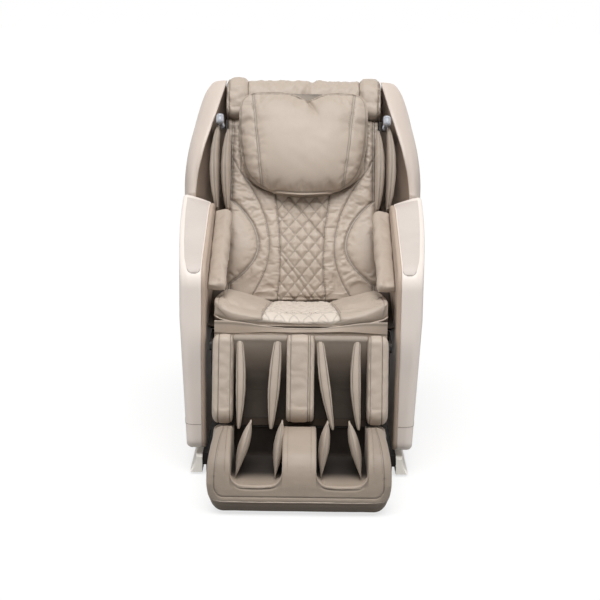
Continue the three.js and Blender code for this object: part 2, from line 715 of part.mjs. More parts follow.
function pumpUnit() {
  const { x, y, width, depth, height, ribs, ribWidth, ribRise } = PUMP;
  const body = block([x, x + width], [y, y + depth], [DECK.bottom - height, DECK.bottom - GAP]);
  const pitch = width / ribs;
  const rib = (i) => {
    const start = x + pitch * (i + 0.5) - ribWidth / 2;
    return block([start, start + ribWidth], [y - ribRise, y + 1], [DECK.bottom - 80, DECK.bottom - 20]);
  };
  return join(body, ...Array.from({ length: ribs }, (_, i) => rib(i)));
}

function buildSeat() {
  add(seatUnit, "seat_frame", STEEL, seatFrame());
  add(seatUnit, "seat_pad", LEATHER_LIGHT, seatPad());
  add(seatUnit, "seat_flap", LEATHER, seatFlap());
  const panel = cut(panelBody(ARM_INNER, 0), panelBody(ARM_INNER - 1, PANEL_WALL));
  addPair(seatUnit, "side_panel", SHELL, panel);
  const liningX = [ARM_INNER - LINING - GAP, ARM_INNER - GAP];
  addPair(seatUnit, "side_lining", LEATHER, plate(inset(PANEL_OUTLINE, 4), liningX));
  addPair(seatUnit, "arm_top_pad", LEATHER_LIGHT, armTopPad());
  addPair(seatUnit, "arm_cushion", LEATHER, armCushion());
  add(seatUnit, "pump_unit", PLASTIC, pumpUnit());
  const leverEnd = inRoom(BACK_PIVOT, BACK_ANGLE, BACK_DRIVE.arm);
  const leverReclined = turned(leverEnd, BACK_PIVOT, RECLINE_RANGE);
  const shorter = apart(BACK_DRIVE.from, leverEnd) - apart(BACK_DRIVE.from, leverReclined);
  const back = drive(BACK_DRIVE.from, leverEnd, BACK_DRIVE, shorter + AIR);
  add(seatUnit, "back_drive_barrel", PLASTIC, back.barrel);
  add(seatUnit, "back_drive_rod", ZINC, back.rod);
  const legEnd = inRoom(LEG_PIVOT, LEG_ANGLE, LEG_DRIVE.arm);
  const leg = drive(LEG_DRIVE.from, legEnd, LEG_DRIVE, 0);
  add(seatUnit, "leg_drive_barrel", PLASTIC, leg.barrel);
  add(seatUnit, "leg_drive_rod", ZINC, leg.rod);
}

// ---------- Backrest ----------

function backFrame() {
  const { tubeX, tubeWidth, depth, bottom, top, cross } = FRAME;
  const tube = block([tubeX, tubeX + tubeWidth], [0, depth], [bottom, top]);
  const lug = barX(BACK_PIN * 2.4, [tubeX, tubeX + tubeWidth], 0, 0);
  const bore = barX(BACK_PIN + RUN, [tubeX - 1, tubeX + tubeWidth + 1], 0, 0);
  const railTall = [RAIL.bottom, RAIL.top];
  const railX = [RAIL.x, RAIL.x + RAIL.width];
  const rail = cut(
    block(railX, [RAIL.front, RAIL.front + RAIL.depth], railTall),
    block(
      [RAIL.x - 1, RAIL.x + RAIL.width - RAIL.lip],
      [RAIL.front + RAIL.lip, RAIL.front + RAIL.depth - RAIL.lip],
      [RAIL.bottom - 1, RAIL.top + 1],
    ),
  );
  const earZ = [AIRBAG.bottom + 16, AIRBAG.top + SPEAKER.height + 2];
  const ear = join(
    block([AIRBAG.earX, AIRBAG.earX + 4], [PAD.front, 30], earZ),
    block([tubeX + tubeWidth - 1, AIRBAG.earX + 1], [10, 30], earZ),
  );
  const tabX = [tubeX + tubeWidth - 1, COVER.halfWidth - COVER.wall - GAP];
  const tab = (z) => block(tabX, [30, COVER.front + 12], [z, z + 24]);
  const side = join(cut(join(tube, lug), bore), rail, ear, tab(40), tab(PAD.top - 30));
  const bar = (z) => block([-tubeX - 1, tubeX + 1], [8, depth], [z, z + cross]);
  const arm = BACK_DRIVE.arm;
  const half = DRIVE.tongue / 2;
  const lever = plate(
    rounded([
      [arm.y - 12, arm.z, 4],
      [arm.y + 12, arm.z, 4],
      [depth, RAIL.bottom - cross + 2],
      [8, RAIL.bottom - cross + 2],
    ]),
    [-half, half],
  );
  return join(
    side,
    mirrored(side),
    bar(RAIL.bottom - cross),
    bar(RAIL.top - 1),
    bar(top - cross),
    ring(arm, BACK_DRIVE, lever),
  );
}

// The seam lines on the back pad, as half widths at height z.
const quiltEdge = (z) => QUILT.halfWidth + 0.0005 * (z - 190) ** 2;
const middleSeam = (z) => Math.min(108 + 0.00163 * (z - 220) ** 2, PAD.halfWidth - 44);
const outerSeam = (z) => Math.min(136 + 0.004 * (z - 225) ** 2, PAD.halfWidth - 22);

// The back pad: a quilted middle between channels, with raised panels that the seams divide.
function backPad() {
  const rows = Math.round((PAD.top - PAD.bottom) / (QUILT.row / 2));
  const rings = [];
  for (let r = 0; r <= rows; r++) {
    const z = lerp(PAD.bottom, PAD.top, r / rows);
    const edge = Math.min(1, Math.min(r, rows - r) / 1.5);
    const bulge = PAD.lumbar * Math.exp(-(((z - 170) / 120) ** 2)) * (z < PILLOW.bottom - 20 ? 1 : 0);
    const front = PAD.front - bulge;
    const at = (x, lift) => V(x, front + lift + (1 - edge) * 16, z);
    const half = [];
    const columns = QUILT.columns;
    for (let i = 0; i <= columns; i++) {
      const raised = (i + r + columns) % 2 === 1 && i < columns;
      half.push([(quiltEdge(z) * i) / columns, raised ? 0 : PAD.channel * 0.7]);
    }
    const [a, b, c] = [quiltEdge(z), middleSeam(z), outerSeam(z)];
    half.push([lerp(a, b, 0.5), 0], [b, PAD.channel], [lerp(b, c, 0.5), 0], [c, PAD.channel]);
    half.push([lerp(c, PAD.halfWidth, 0.5), 1], [PAD.halfWidth - 6, 5], [PAD.halfWidth, 22]);
    const right = half.slice(1).reverse().map(([x, lift]) => at(-x, lift));
    const left = half.map(([x, lift]) => at(x, lift));
    const rear = [PAD.halfWidth - 4, -PAD.halfWidth + 4].map((x) => V(x, -GAP, z));
    rings.push([...right, ...left, ...rear]);
  }
  return loft(rings);
}

// The upper back cushion, rolled over the top of the frame, with a seam near each end.
function shoulderYoke() {
  const outline = rounded(
    [
      [YOKE.front, PAD.top + GAP, 24],
      [YOKE.rear, PAD.top + GAP, 22],
      [YOKE.rear, YOKE.top - 14, 26],
      [YOKE.front + 8, YOKE.top, 56],
    ],
    3,
  );
  const w = YOKE.halfWidth;
  const seam = w - 72;
  const stations = [
    [w, 16],
    [w - 5, 6],
    [w - 16, 1],
    [w - 40, 0],
    [seam + 4, 1],
    [seam, 6],
    [seam - 4, 1],
    [seam - 60, 2],
  ];
  const ring = (x, by) => inset(outline, by).map(([y, z]) => V(x, y, z));
  const negative = stations.map(([x, by]) => ring(-x, by));
  const positive = [...stations].reverse().map(([x, by]) => ring(x, by));
  const room = join(
    block([-w - 1, w + 1], [-GAP, FRAME.depth + GAP], [PAD.top - 1, FRAME.top + GAP]),
    block([-RAIL.x - 40, RAIL.x + 40], [-GAP, YOKE.rear + 1], [PAD.top - 1, PAD.top + 12]),
  );
  return cut(loft([...negative, ...positive]), room);
}

// Depth of the rear cover at height z: fullest at the mechanism, thinner towards the top.
function coverRear(z) {
  const thinnerTop = 46 * Math.max(0, (z - 420) / (COVER.top - 420)) ** 1.6;
  const thinnerFoot = 24 * Math.max(0, (100 - z) / (100 - COVER.bottom)) ** 2;
  return COVER.rear - thinnerTop - thinnerFoot;
}

function rearCover() {
  const rows = [COVER.bottom, COVER.bottom + 24, 100, 250, 420, 540, 660, COVER.top - 12, COVER.top];
  const section = (z, wall, extra) => {
    const w = COVER.halfWidth - wall;
    const rear = coverRear(z) - wall - extra;
    const front = COVER.front - (wall ? 2 : 0);
    const curve = [
      [1, 0.5],
      [0.93, 0.77],
      [0.7, 0.92],
      [0.35, 0.99],
    ].map(([k, share]) => [k, lerp(front, rear, share)]);
    return [
      V(-w, front, z),
      ...curve.map(([k, y]) => V(-w * k, y, z)),
      ...curve.reverse().map(([k, y]) => V(w * k, y, z)),
      V(w, front, z),
    ];
  };
  const outer = loft(rows.map((z, i) => section(z, 0, i === rows.length - 1 ? 14 : 0)));
  const inner = loft(rows.slice(0, -1).map((z, i) => section(i === 0 ? z + COVER.wall : z, COVER.wall, 0)));
  return cut(outer, inner);
}

// The wing shells that hug the shoulders. Each section hooks round from the front rim to the rear.
const rimX = curveThrough([
  [60, 352],
  [360, 350],
  [WING.top - 290, 328],
  [WING.top - 150, 291],
  [WING.top, WING.rimTop],
]);
const rimY = curveThrough([
  [372, -128],
  [WING.top - 290, -146],
  [WING.top - 150, -118],
  [WING.top, -58],
]);
const rearEdge = {
  low: fromRoom(BACK_PIVOT, BACK_ANGLE, { y: BACK_PIVOT.y + 40, z: BACK_PIVOT.z + 10 }),
  high: fromRoom(BACK_PIVOT, BACK_ANGLE, { y: ARM.rearY, z: ARM.rearZ }),
};

// A smooth function of z through [z, value] pairs.
function curveThrough(pairs) {
  const curve = new THREE.SplineCurve(pairs.map(([z, value]) => new THREE.Vector2(z, value)));
  const samples = curve.getPoints(60);
  return (z) => {
    const i = samples.findIndex((p) => p.x >= z);
    if (i < 0) return samples.at(-1).y;
    if (i === 0) return samples[0].y;
    const [a, b] = [samples[i - 1], samples[i]];
    return lerp(a.y, b.y, (z - a.x) / (b.x - a.x));
  };
}

function wingOut(z) {
  const start = WING.top - 370;
  const { outTop, outFull } = WING;
  if (z <= start) return outFull - 7 * ((start - z) / start);
  const t = Math.min(1, (z - start) / (WING.top - start));
  return outTop + (outFull - outTop) * (1 - t ** 1.6) ** 0.625;
}

// The front rim's depth: free above the arm, and kept behind the side panel's rear edge below it.
function wingRimY(z) {
  const t = (z - rearEdge.low.z) / (rearEdge.high.z - rearEdge.low.z);
  const behindPanel = lerp(rearEdge.low.y, rearEdge.high.y, t) + WING.gap * 1.35;
  return z > rearEdge.high.z + 4 ? rimY(z) : Math.max(behindPanel, rimY(z));
}

function wing() {
  const below = [WING.bottom, 160, 230, 300, 366, 384];
  const rows = [...below, ...[340, 270, 200, 140, 90, 50, 20, 0].map((drop) => WING.top - drop)];
  const sweep = [0, 15, 32, 50, 70, 90];
  const corner = [0, 45, 90];
  const rings = rows.map((z) => {
    const [rim, frontY] = [rimX(z), wingRimY(z)];
    const rear = Math.min(WING.rear, coverRear(z));
    const deep = rear - frontY;
    const side = Math.max(wingOut(z), rim + 8);
    const rearIn = Math.min(COVER.halfWidth + GAP, side - 24);
    const flange = COVER.front + 18;
    const round = Math.min(50, 0.55 * (side - rearIn), 0.38 * deep);
    const hook = (wall) => [
      ...sweep.map((a) => {
        const x = rim + (side - wall - rim) * Math.sin(rad(a));
        return V(x, frontY + wall + (Math.min(120, deep * 0.6) - wall) * (1 - Math.cos(rad(a))), z);
      }),
      ...corner.map((a) => {
        const reach = round - wall;
        return V(side - round + reach * Math.cos(rad(a)), rear - round + reach * Math.sin(rad(a)), z);
      }),
      V(rearIn + wall, rear - wall, z),
      V(rearIn + wall, flange, z),
    ];
    return [...hook(0), ...hook(WING.wall).reverse()];
  });
  return loft(rings);
}

// A sewn airbag: a leaf with a seam edge at the front and a flat root at the rear.
// at(t) gives {x, y0, y1, thick} for t from 0 to 1 along z0..z1.
function leaf([z0, z1], at, steps = [0, 0.04, 0.14, 0.32, 0.5, 0.68, 0.86, 0.96, 1]) {
  const rings = steps.map((t) => {
    const z = lerp(z0, z1, t);
    const { x, front, root, thick } = at(t);
    const half = thick / 2;
    const span = root - front;
    const outline = [
      [0, 0],
      [half * 0.62, span * 0.14],
      [half, span * 0.42],
      [half * 0.86, span * 0.8],
      [half * 0.45, span],
      [-half * 0.45, span],
      [-half * 0.86, span * 0.8],
      [-half, span * 0.42],
      [-half * 0.62, span * 0.14],
    ];
    return outline.map(([dx, dy]) => V(x + dx, front + dy, z));
  });
  return loft(rings);
}

// How full a leaf is at t: pinched at both ends.
const leafShape = (t) => 0.25 + 0.75 * Math.sin(Math.PI * Math.min(0.97, Math.max(0.03, t))) ** 0.6;

function shoulderAirbags() {
  const root = PAD.front - GAP;
  const bag = (x, lean, shorten) =>
    leaf([AIRBAG.bottom, AIRBAG.top - shorten], (t) => ({
      x: x + lean * (0.55 - t) ** 2 * 4 * -1,
      front: lerp(root - 30, AIRBAG.front, leafShape(t)),
      root: root - 8,
      thick: AIRBAG.thick * leafShape(t),
    }));
  const stripX = [AIRBAG.inner - 14, AIRBAG.outer + 6];
  const strip = block(stripX, [root - 12, root], [AIRBAG.bottom + 16, AIRBAG.top - 10]);
  return join(bag(AIRBAG.inner, 6, 12), bag(AIRBAG.outer, 9, 0), strip);
}

// The speaker pod above the outer airbag, on a foot beside the airbag's strip.
function speaker() {
  const z = AIRBAG.top + 2;
  const x = AIRBAG.outer - 15;
  const root = PAD.front - GAP;
  const foot = block([AIRBAG.earX, x + 12], [root - 12, root], [z, z + SPEAKER.height]);
  const neck = block([x - 4, x + 4], [-132, root - 10], [z + 10, z + SPEAKER.height - 8]);
  const profile = [
    [0, 0],
    [SPEAKER.radius - 4, 0],
    [SPEAKER.radius, 6],
    [SPEAKER.radius, SPEAKER.height - 8],
    [SPEAKER.radius - 5, SPEAKER.height],
    [0, SPEAKER.height],
  ].map(([r, h]) => new THREE.Vector2(r, h));
  const pod = new THREE.LatheGeometry(profile, 14).rotateX(Math.PI / 2).translate(x, -132, z + 4);
  return join(solid(pod), foot, neck);
}

// The head pillow: a stuffed shield, thick at the foot, pinched at its top edge by its strap.
function pillow() {
  const rows = [0, 0.02, 0.07, 0.16, 0.28, 0.42, 0.56, 0.7, 0.82, 0.91, 0.97, 1];
  const across = [-1, -0.985, -0.93, -0.8, -0.6, -0.4, -0.2, 0, 0.2, 0.4, 0.6, 0.8, 0.93, 0.985, 1];
  const tall = PILLOW.top - PILLOW.bottom;
  const widthAt = (t) => {
    const lower = Math.max(0, 0.42 - t) / 0.42;
    const upper = Math.max(0, t - 0.84) / 0.16;
    const foot = (1 - Math.min(0.9999, lower) ** 2.6) ** (1 / 2.6);
    const head = (1 - Math.min(0.9999, upper) ** 2.4) ** (1 / 2.4);
    return PILLOW.halfWidth * Math.max(0.56 + 0.44 * foot, 0.3) * (0.86 + 0.14 * head);
  };
  const rings = rows.map((t) => {
    const z = PILLOW.bottom + tall * t;
    const w = widthAt(t);
    const rear = lerp(PAD.front, YOKE.front, THREE.MathUtils.smoothstep(z, PAD.top - 40, PAD.top - 8)) - GAP;
    const face = lerp(PILLOW.front, PILLOW.topFront, t ** 1.3);
    const full = Math.min(1, Math.sin(Math.PI * Math.min(0.985, Math.max(0.015, t))) ** 0.42);
    const sag = (u) => PILLOW.notch * Math.exp(-(((u - 0.08) / 0.2) ** 2)) * t ** 6;
    const front = across.map((u) => {
      const crown = (1 - Math.abs(u) ** 3.2) ** 0.6;
      const thick = (rear - face) * (0.18 + 0.82 * crown * full);
      return V(u * w, rear - Math.max(thick, 12), z - sag(u));
    });
    const back = [0.96, 0.5, 0.08, -0.5, -0.96].map((u) => V(u * w, rear, z - sag(u)));
    return [...front, ...back];
  });
  return loft(rings);
}

// ---------- Massage mechanism ----------

function carriage() {
  const { z, shaftY, shaftR, armX, armThick } = MECH;
  const slotX = RAIL.x + RAIL.width - RAIL.lip - AIR / 2;
  const shoeIn = armX + armThick + ROLLER.width + 10;
  const shoeY = [RAIL.front + RAIL.lip + GAP * 2, RAIL.front + RAIL.depth - RAIL.lip - GAP * 2];
  const shoe = (dz) => block([shoeIn, slotX], shoeY, [z + dz - 12, z + dz + 12]);
  const back = shaftY + shaftR + 14;
  const caseBody = block([-104, 104], [back, back + 38], [z - 58, z + 58]);
  const motor = barX(26, [-52, 40], back + 16, z + 74);
  const shoeBlock = (dz) => block([shoeIn, 104], [shoeY[0], back + 1], [z + dz - 12, z + dz + 12]);
  const lug = (x) => block([x, x + 9], [shaftY - 12, back + 1], [z - 14, z + 14]);
  const lugs = [armX - 12, armX + armThick + 3];
  const side = join(shoe(46), shoe(-46), shoeBlock(46), shoeBlock(-46), lug(lugs[0]), lug(lugs[1]));
  return join(caseBody, motor, side, mirrored(side), barX(shaftR, [-lugs[1] - 9, lugs[1] + 9], shaftY, z));
}

// One massage arm on the left of the shaft, with a pin for a roller at each tip.
function massageArm() {
  const { z, shaftY, shaftR, armX, armThick, reach } = MECH;
  const x = [armX, armX + armThick];
  const tip = (sign) => barX(ROLLER.pin * 1.8, x, ROLLER.y, z + sign * reach, FEW);
  const web = (sign) =>
    plate(
      [
        [shaftY - 11, z],
        [shaftY + 9, z],
        [ROLLER.y + 8, z + sign * reach],
        [ROLLER.y - 6, z + sign * reach],
      ],
      x,
    );
  const pinEnd = armX + armThick + ROLLER.width + 6;
  const pin = (sign) =>
    join(
      barX(ROLLER.pin, [armX, pinEnd], ROLLER.y, z + sign * reach, SMALL),
      barX(ROLLER.pin * 1.6, [pinEnd - 2, pinEnd + 1], ROLLER.y, z + sign * reach, FEW),
    );
  const hub = barX(shaftR + 8, x, shaftY, z);
  const made = join(hub, web(1), web(-1), tip(1), tip(-1), pin(1), pin(-1));
  return cut(made, barX(shaftR + RUN, [armX - 1, armX + armThick + 1], shaftY, z));
}

function roller(sign) {
  const half = ROLLER.width / 2;
  const bore = ROLLER.pin + RUN;
  const r = ROLLER.radius;
  const profile = [
    [bore, -half],
    [r * 0.72, -half],
    [r, -half * 0.35],
    [r, half * 0.35],
    [r * 0.72, half],
    [bore, half],
    [bore, -half],
  ].map(([radius, y]) => new THREE.Vector2(radius, y));
  const ball = new THREE.LatheGeometry(profile, 16).rotateZ(-Math.PI / 2);
  const x = MECH.armX + MECH.armThick + 2 + half;
  return solid(ball.translate(x, ROLLER.y, MECH.z + sign * MECH.reach));
}

function buildBack() {
  add(backUnit, "back_frame", STEEL, backFrame());
  add(backUnit, "back_pad", LEATHER, backPad());
  add(backUnit, "shoulder_yoke", LEATHER, shoulderYoke());
  add(backUnit, "rear_cover", PLASTIC, rearCover());
  addPair(backUnit, "wing", SHELL_WARM, wing());
  addPair(backUnit, "shoulder_airbags", LEATHER, shoulderAirbags());
  addPair(backUnit, "speaker", ZINC, speaker());
  add(backUnit, "head_pillow", LEATHER_LIGHT, pillow());
  add(backUnit, "massage_carriage", PLASTIC, carriage());
  addPair(backUnit, "massage_arm", ZINC, massageArm());
  addPair(backUnit, "upper_roller", LINER, roller(1));
  addPair(backUnit, "lower_roller", LINER, roller(-1));
}

// ---------- Leg rest ----------

// A padded block between x0 and x1 with the given side outline, rounded at its ends.
function bolster(outline, [x0, x1], edge = BOLSTER.edge, crown = 1.5) {
  const ring = (x, by) => inset(outline, by).map(([y, z]) => V(x, y, z));
  const middle = (x0 + x1) / 2;
  return loft([
    ring(x0, edge),
    ring(x0 + edge * 0.25, edge * 0.4),
    ring(x0 + edge, 0),
    ring(middle, -crown),
    ring(x1 - edge, 0),
    ring(x1 - edge * 0.25, edge * 0.4),
    ring(x1, edge),
  ]);
}

function calfOutline(rear) {
  const { front, top, bottom } = CALF;
  const round = BOLSTER.round;
  return rounded(
    [
      [front, bottom, round],
      [rear - 1.5, bottom, 18],
      [rear - 1.5, top - 30, 10],
      [-8, top, 20],
      [front, top, round],
    ],
    4,
  );
}

const calfPlateY = [CALF.rear + GAP, CALF.rear + GAP + CALF_PLATE.thick];
const channelBack = CALF.rear - CALF_BACK.thick;

function calfFrame() {
  const w = CALF.halfWidth;
  const back = block([-w - 1, w + 1], calfPlateY, [CALF_PLATE.bottom, 4]);
  const sideX = [w + GAP * 2, w + GAP * 2 + SIDE_PLATE];
  const sidePlate = cut(
    plate(
      rounded([
        [-16, -80],
        [calfPlateY[1], -120],
        [calfPlateY[1], 4],
        [20, 20, 10],
        [-20, 20, 16],
        [-24, -10],
      ]),
      sideX,
    ),
    barX(LEG_PIN + RUN, [w - 1, w + 8], 0, 0),
  );
  const link = block([w, sideX[1]], calfPlateY, [-110, 0]);
  const sleeve = cut(
    block(
      [GUIDE.x - 14, GUIDE.x + 14],
      [calfPlateY[1] - 1, GUIDE.y + GUIDE.radius + 6],
      [-200, -200 + GUIDE.sleeve],
    ),
    barBetween(GUIDE.radius + RUN, V(GUIDE.x, GUIDE.y, -210), V(GUIDE.x, GUIDE.y, -190 + GUIDE.sleeve)),
  );
  const side = join(sidePlate, link, sleeve);
  const ledge = (z) => block([-w + 62, w - 62], [calfPlateY[0] - 12, calfPlateY[0] + 1], [z, z + 4]);
  const arm = LEG_DRIVE.arm;
  const half = DRIVE.tongue / 2;
  const x = LEG_DRIVE.x;
  const lever = block([x - half, x + half], [calfPlateY[1] - 1, arm.y], [arm.z - 20, arm.z + 20]);
  return join(back, side, mirrored(side), ledge(CALF_PLATE.bottom), ring(arm, LEG_DRIVE, lever));
}

// The lining behind the two calf channels, rolled forward over their tops.
function calfBackPad() {
  const half = CALF.halfWidth - BOLSTER.side - GAP;
  const slab = block([-half, half], [channelBack, CALF.rear], [CALF.bottom + 4, CALF.top - 32]);
  const rollX = [BOLSTER.centre / 2 + GAP, half];
  const roll = plate(
    rounded([
      [CALF.front + 16, CALF.top - CALF_BACK.roll, 12],
      [channelBack - 16, CALF.top - CALF_BACK.roll - 8, 10],
      [channelBack + 2, CALF.top - CALF_BACK.roll - 22],
      [CALF.rear, CALF.top - 40],
      [CALF.rear - 2, CALF.top - 32],
      [-8, CALF.top - 3, 14],
      [CALF.front + 10, CALF.top - 6, 14],
    ]),
    rollX,
  );
  return join(slab, roll, mirrored(roll));
}

function calfLeaf(x, lean) {
  return leaf([CALF_LEAF.bottom, CALF_LEAF.top], (t) => ({
    x: x + lean * (t - 0.5),
    front: lerp(CALF_LEAF.front + 34, CALF_LEAF.front, leafShape(t)),
    root: channelBack - GAP,
    thick: CALF_LEAF.thick * leafShape(t),
  }));
}

function buildLeg() {
  add(legUnit, "calf_frame", STEEL, calfFrame());
  const sideX = [CALF.halfWidth - BOLSTER.side, CALF.halfWidth];
  addPair(legUnit, "calf_bolster", LEATHER, bolster(calfOutline(CALF.rear), sideX));
  const centreX = [-BOLSTER.centre / 2, BOLSTER.centre / 2];
  add(legUnit, "calf_bolster_centre", LEATHER, bolster(centreOutline(), centreX));
  add(legUnit, "calf_back_pad", LINER, calfBackPad());
  addPair(legUnit, "calf_airbag_outer", LEATHER, calfLeaf(CALF_LEAF.outer, 0));
  addPair(legUnit, "calf_airbag_inner", LEATHER, calfLeaf(CALF_LEAF.inner, -6));
}

// The centre bolster stands on the lining, and its top ends behind the rolls.
function centreOutline() {
  const { front, top, bottom } = CALF;
  const rear = channelBack - GAP;
  return rounded(
    [
      [front, bottom + 6, BOLSTER.round],
      [rear - 1.5, bottom + 6, 18],
      [rear - 1.5, top - 26, 10],
      [-8, top, 20],
      [front, top, BOLSTER.round],
    ],
    4,
  );
}

// ---------- Foot unit ----------

// Side outline of the foot unit, anticlockwise seen from +X.
const FOOT_OUTLINE = rounded(
  [
    [FOOT.front + 34, FOOT.bottom],
    [FOOT.rear, FOOT.bottom, 24],
    [FOOT.rear, 168, 24],
    [FOOT.rear - 116, 186, 10],
    [FOOT.rear - 140, FOOT.top - 6, 16],
    [FOOT.rear - 200, FOOT.top, 40],
    [FOOT.front + 20, 170, 50],
    [FOOT.front, 110, 30],
    [FOOT.front, 44, 14],
  ],
  4,
);

const guidePoint = (z) => {
  const p = inRoom(LEG_PIVOT, LEG_ANGLE, { y: GUIDE.y, z });
  return V(GUIDE.x, p.y, p.z);
};
const guideFoot = () => {
  const slope = Math.cos(rad(LEG_ANGLE));
  return guidePoint((FOOT.bottom - FOOT_PLATE.thick / 2 - guidePoint(0).z) / slope);
};

function footShell() {
  const body = bolster(FOOT_OUTLINE, [-FOOT.halfWidth, FOOT.halfWidth], 20, 0);
  const well = plate(
    rounded([
      [FOOT.front - 40, FOOT.lip],
      [FOOT.front + 12, FOOT.lip, 6],
      [FOOT.front + 26, FOOT.sole, 6],
      [WELL.rear, FOOT.sole, 8],
      [WELL.rear, FOOT.top + 60],
      [FOOT.front - 40, FOOT.top + 60],
    ]),
    [WELL.inner, WELL.outer],
  );
  const hole = barBetween(GUIDE.radius + RUN, guidePoint(-420), guidePoint(-200));
  return cut(body, well, mirrored(well), hole, mirrored(hole));
}

function footFrame() {
  const low = FOOT.bottom - GAP - FOOT_PLATE.thick;
  const sole = [low, low + FOOT_PLATE.thick];
  const half = FOOT_PLATE.halfWidth + 4;
  const base = block([-half, half], [FOOT.front + 44, FOOT.rear - 8], sole);
  const rod = barBetween(GUIDE.radius, guideFoot(), guidePoint(GUIDE.top));
  const glide = new THREE.LatheGeometry(
    [
      [0, 1],
      [FOOT_PLATE.glideR * 0.66, 1],
      [FOOT_PLATE.glideR * 0.92, 5],
      [FOOT_PLATE.glideR, low + 1],
      [0, low + 1],
    ].map(([r, z]) => new THREE.Vector2(r, z)),
    ROUND,
  );
  const stud = solid(glide.rotateX(Math.PI / 2).translate(FOOT_PLATE.glideX, FOOT.front + 78, 0));
  return join(base, rod, mirrored(rod), stud, mirrored(stud));
}

function footLeaf(x, lean) {
  const root = WELL.rear - GAP;
  return leaf([FOOT_LEAF.bottom, FOOT_LEAF.top], (t) => ({
    x: x + lean * (t - 0.5),
    front: -530 - 22 * leafShape(t),
    root: t > 0.45 ? lerp(root, -470, Math.min(1, (t - 0.45) / 0.12)) : root,
    thick: FOOT_LEAF.thick * leafShape(t),
  }));
}

function buildFoot() {
  add(footUnit, "foot_frame", STEEL, footFrame());
  add(footUnit, "foot_shell", LEATHER, footShell());
  addPair(footUnit, "foot_airbag_outer", LEATHER, footLeaf(FOOT_LEAF.outer, -34));
  addPair(footUnit, "foot_airbag_inner", LEATHER, footLeaf(FOOT_LEAF.inner, 14));
}

// ---------- Assembly ----------

buildBase();
buildSeat();
buildBack();
buildLeg();
buildFoot();

// The origin is on the floor, under the middle of the chair.
chair.updateMatrixWorld(true);
const bounds = new THREE.Box3().setFromObject(chair, true);
chair.position.y = -(bounds.min.y + bounds.max.y) / 2;

export default chair;
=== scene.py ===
"""The looks of a zero-gravity massage chair: leather cushions with their seams, moulded shells and the
mechanism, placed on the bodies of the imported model. Lengths are millimetres in each unit's own frame."""

import json
import math

import bpy
import numpy as np
from mathutils import Matrix, Vector


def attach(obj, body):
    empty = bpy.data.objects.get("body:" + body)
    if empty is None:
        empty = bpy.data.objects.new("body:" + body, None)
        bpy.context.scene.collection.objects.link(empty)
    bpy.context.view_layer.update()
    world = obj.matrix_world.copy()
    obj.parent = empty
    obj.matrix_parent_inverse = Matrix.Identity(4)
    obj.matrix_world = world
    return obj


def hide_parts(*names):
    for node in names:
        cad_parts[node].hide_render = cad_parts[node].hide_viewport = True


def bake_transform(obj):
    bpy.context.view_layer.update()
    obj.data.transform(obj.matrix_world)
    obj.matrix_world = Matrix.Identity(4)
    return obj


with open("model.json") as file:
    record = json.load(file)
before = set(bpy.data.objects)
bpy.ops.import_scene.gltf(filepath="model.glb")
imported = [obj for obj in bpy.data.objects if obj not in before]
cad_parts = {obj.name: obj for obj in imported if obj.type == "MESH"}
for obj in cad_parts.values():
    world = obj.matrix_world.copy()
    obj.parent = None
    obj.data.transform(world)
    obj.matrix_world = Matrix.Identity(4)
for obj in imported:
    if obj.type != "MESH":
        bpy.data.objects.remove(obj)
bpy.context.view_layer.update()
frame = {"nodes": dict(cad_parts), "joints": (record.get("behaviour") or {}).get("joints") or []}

MM = 0.001
pivots = {j["name"]: Vector(j["pos_m"]) for j in frame["joints"] if "pos_m" in j}
TILT_PIVOT_Y = 160 * MM  # the tilt pivot's place in the room's own frame
BACK_ANGLE = 24  # the backrest's lean at rest, in degrees
LEG_ANGLE = 14  # the leg rest's lean at rest


# ---------- Frames of the moving units ----------


class Place:
    """A unit's own frame: z up along it, y rearwards, in millimetres."""

    def __init__(self, origin, lean, body):
        turn = Matrix.Rotation(-math.radians(lean), 4, "X")
        self.matrix = np.array(Matrix.Translation(origin) @ turn)
        self.inverse = np.linalg.inv(self.matrix)
        self.body = body

    def out(self, points):
        """Points of this frame, in millimetres, as metres of the row frame."""
        flat = np.asarray(points, float).reshape(-1, 3) * MM
        return flat @ self.matrix[:3, :3].T + self.matrix[:3, 3]

    def box(self, node):
        """A CAD node's lowest and highest corner in this frame, in millimetres."""
        co = np.array([v.co for v in frame["nodes"][node].data.vertices])
        own = (co @ self.inverse[:3, :3].T + self.inverse[:3, 3]) / MM
        return own.min(0), own.max(0)


room_origin = Vector((0, pivots["zero_gravity_tilt"].y - TILT_PIVOT_Y, 0))
SEAT = Place(room_origin, 0, "seat_unit")
BACK = Place(pivots["backrest_recline"], BACK_ANGLE, "backrest")
PILLOW = Place(pivots["backrest_recline"], BACK_ANGLE, "pillow")
LEG = Place(pivots["legrest_lift"], LEG_ANGLE, "leg_unit")
FOOT = Place(room_origin, 0, "foot_unit")

# ---------- Camera ----------

CAMERA = {"elevation": 12, "distance": 4.5, "aim_height": 0.488, "aim_x": -0.0038, "lens": 84.8, "roll": 0.75}


def make_camera():
    data = bpy.data.cameras.new("camera")
    data.sensor_width = 36
    data.lens = CAMERA["lens"]
    data.clip_end = 200
    camera = bpy.data.objects.new("camera", data)
    bpy.context.scene.collection.objects.link(camera)
    aim = Vector((CAMERA["aim_x"], room_origin.y, CAMERA["aim_height"]))
    up = math.radians(CAMERA["elevation"])
    back = Vector((0, -math.cos(up), math.sin(up)))
    camera.location = aim + back * CAMERA["distance"]
    turn = (-back).to_track_quat("-Z", "Y").to_matrix().to_4x4()
    roll = Matrix.Rotation(math.radians(CAMERA["roll"]), 4, "Z")
    camera.rotation_euler = (turn @ roll).to_euler()
    bpy.context.scene.camera = camera


make_camera()

# ---------- Materials ----------


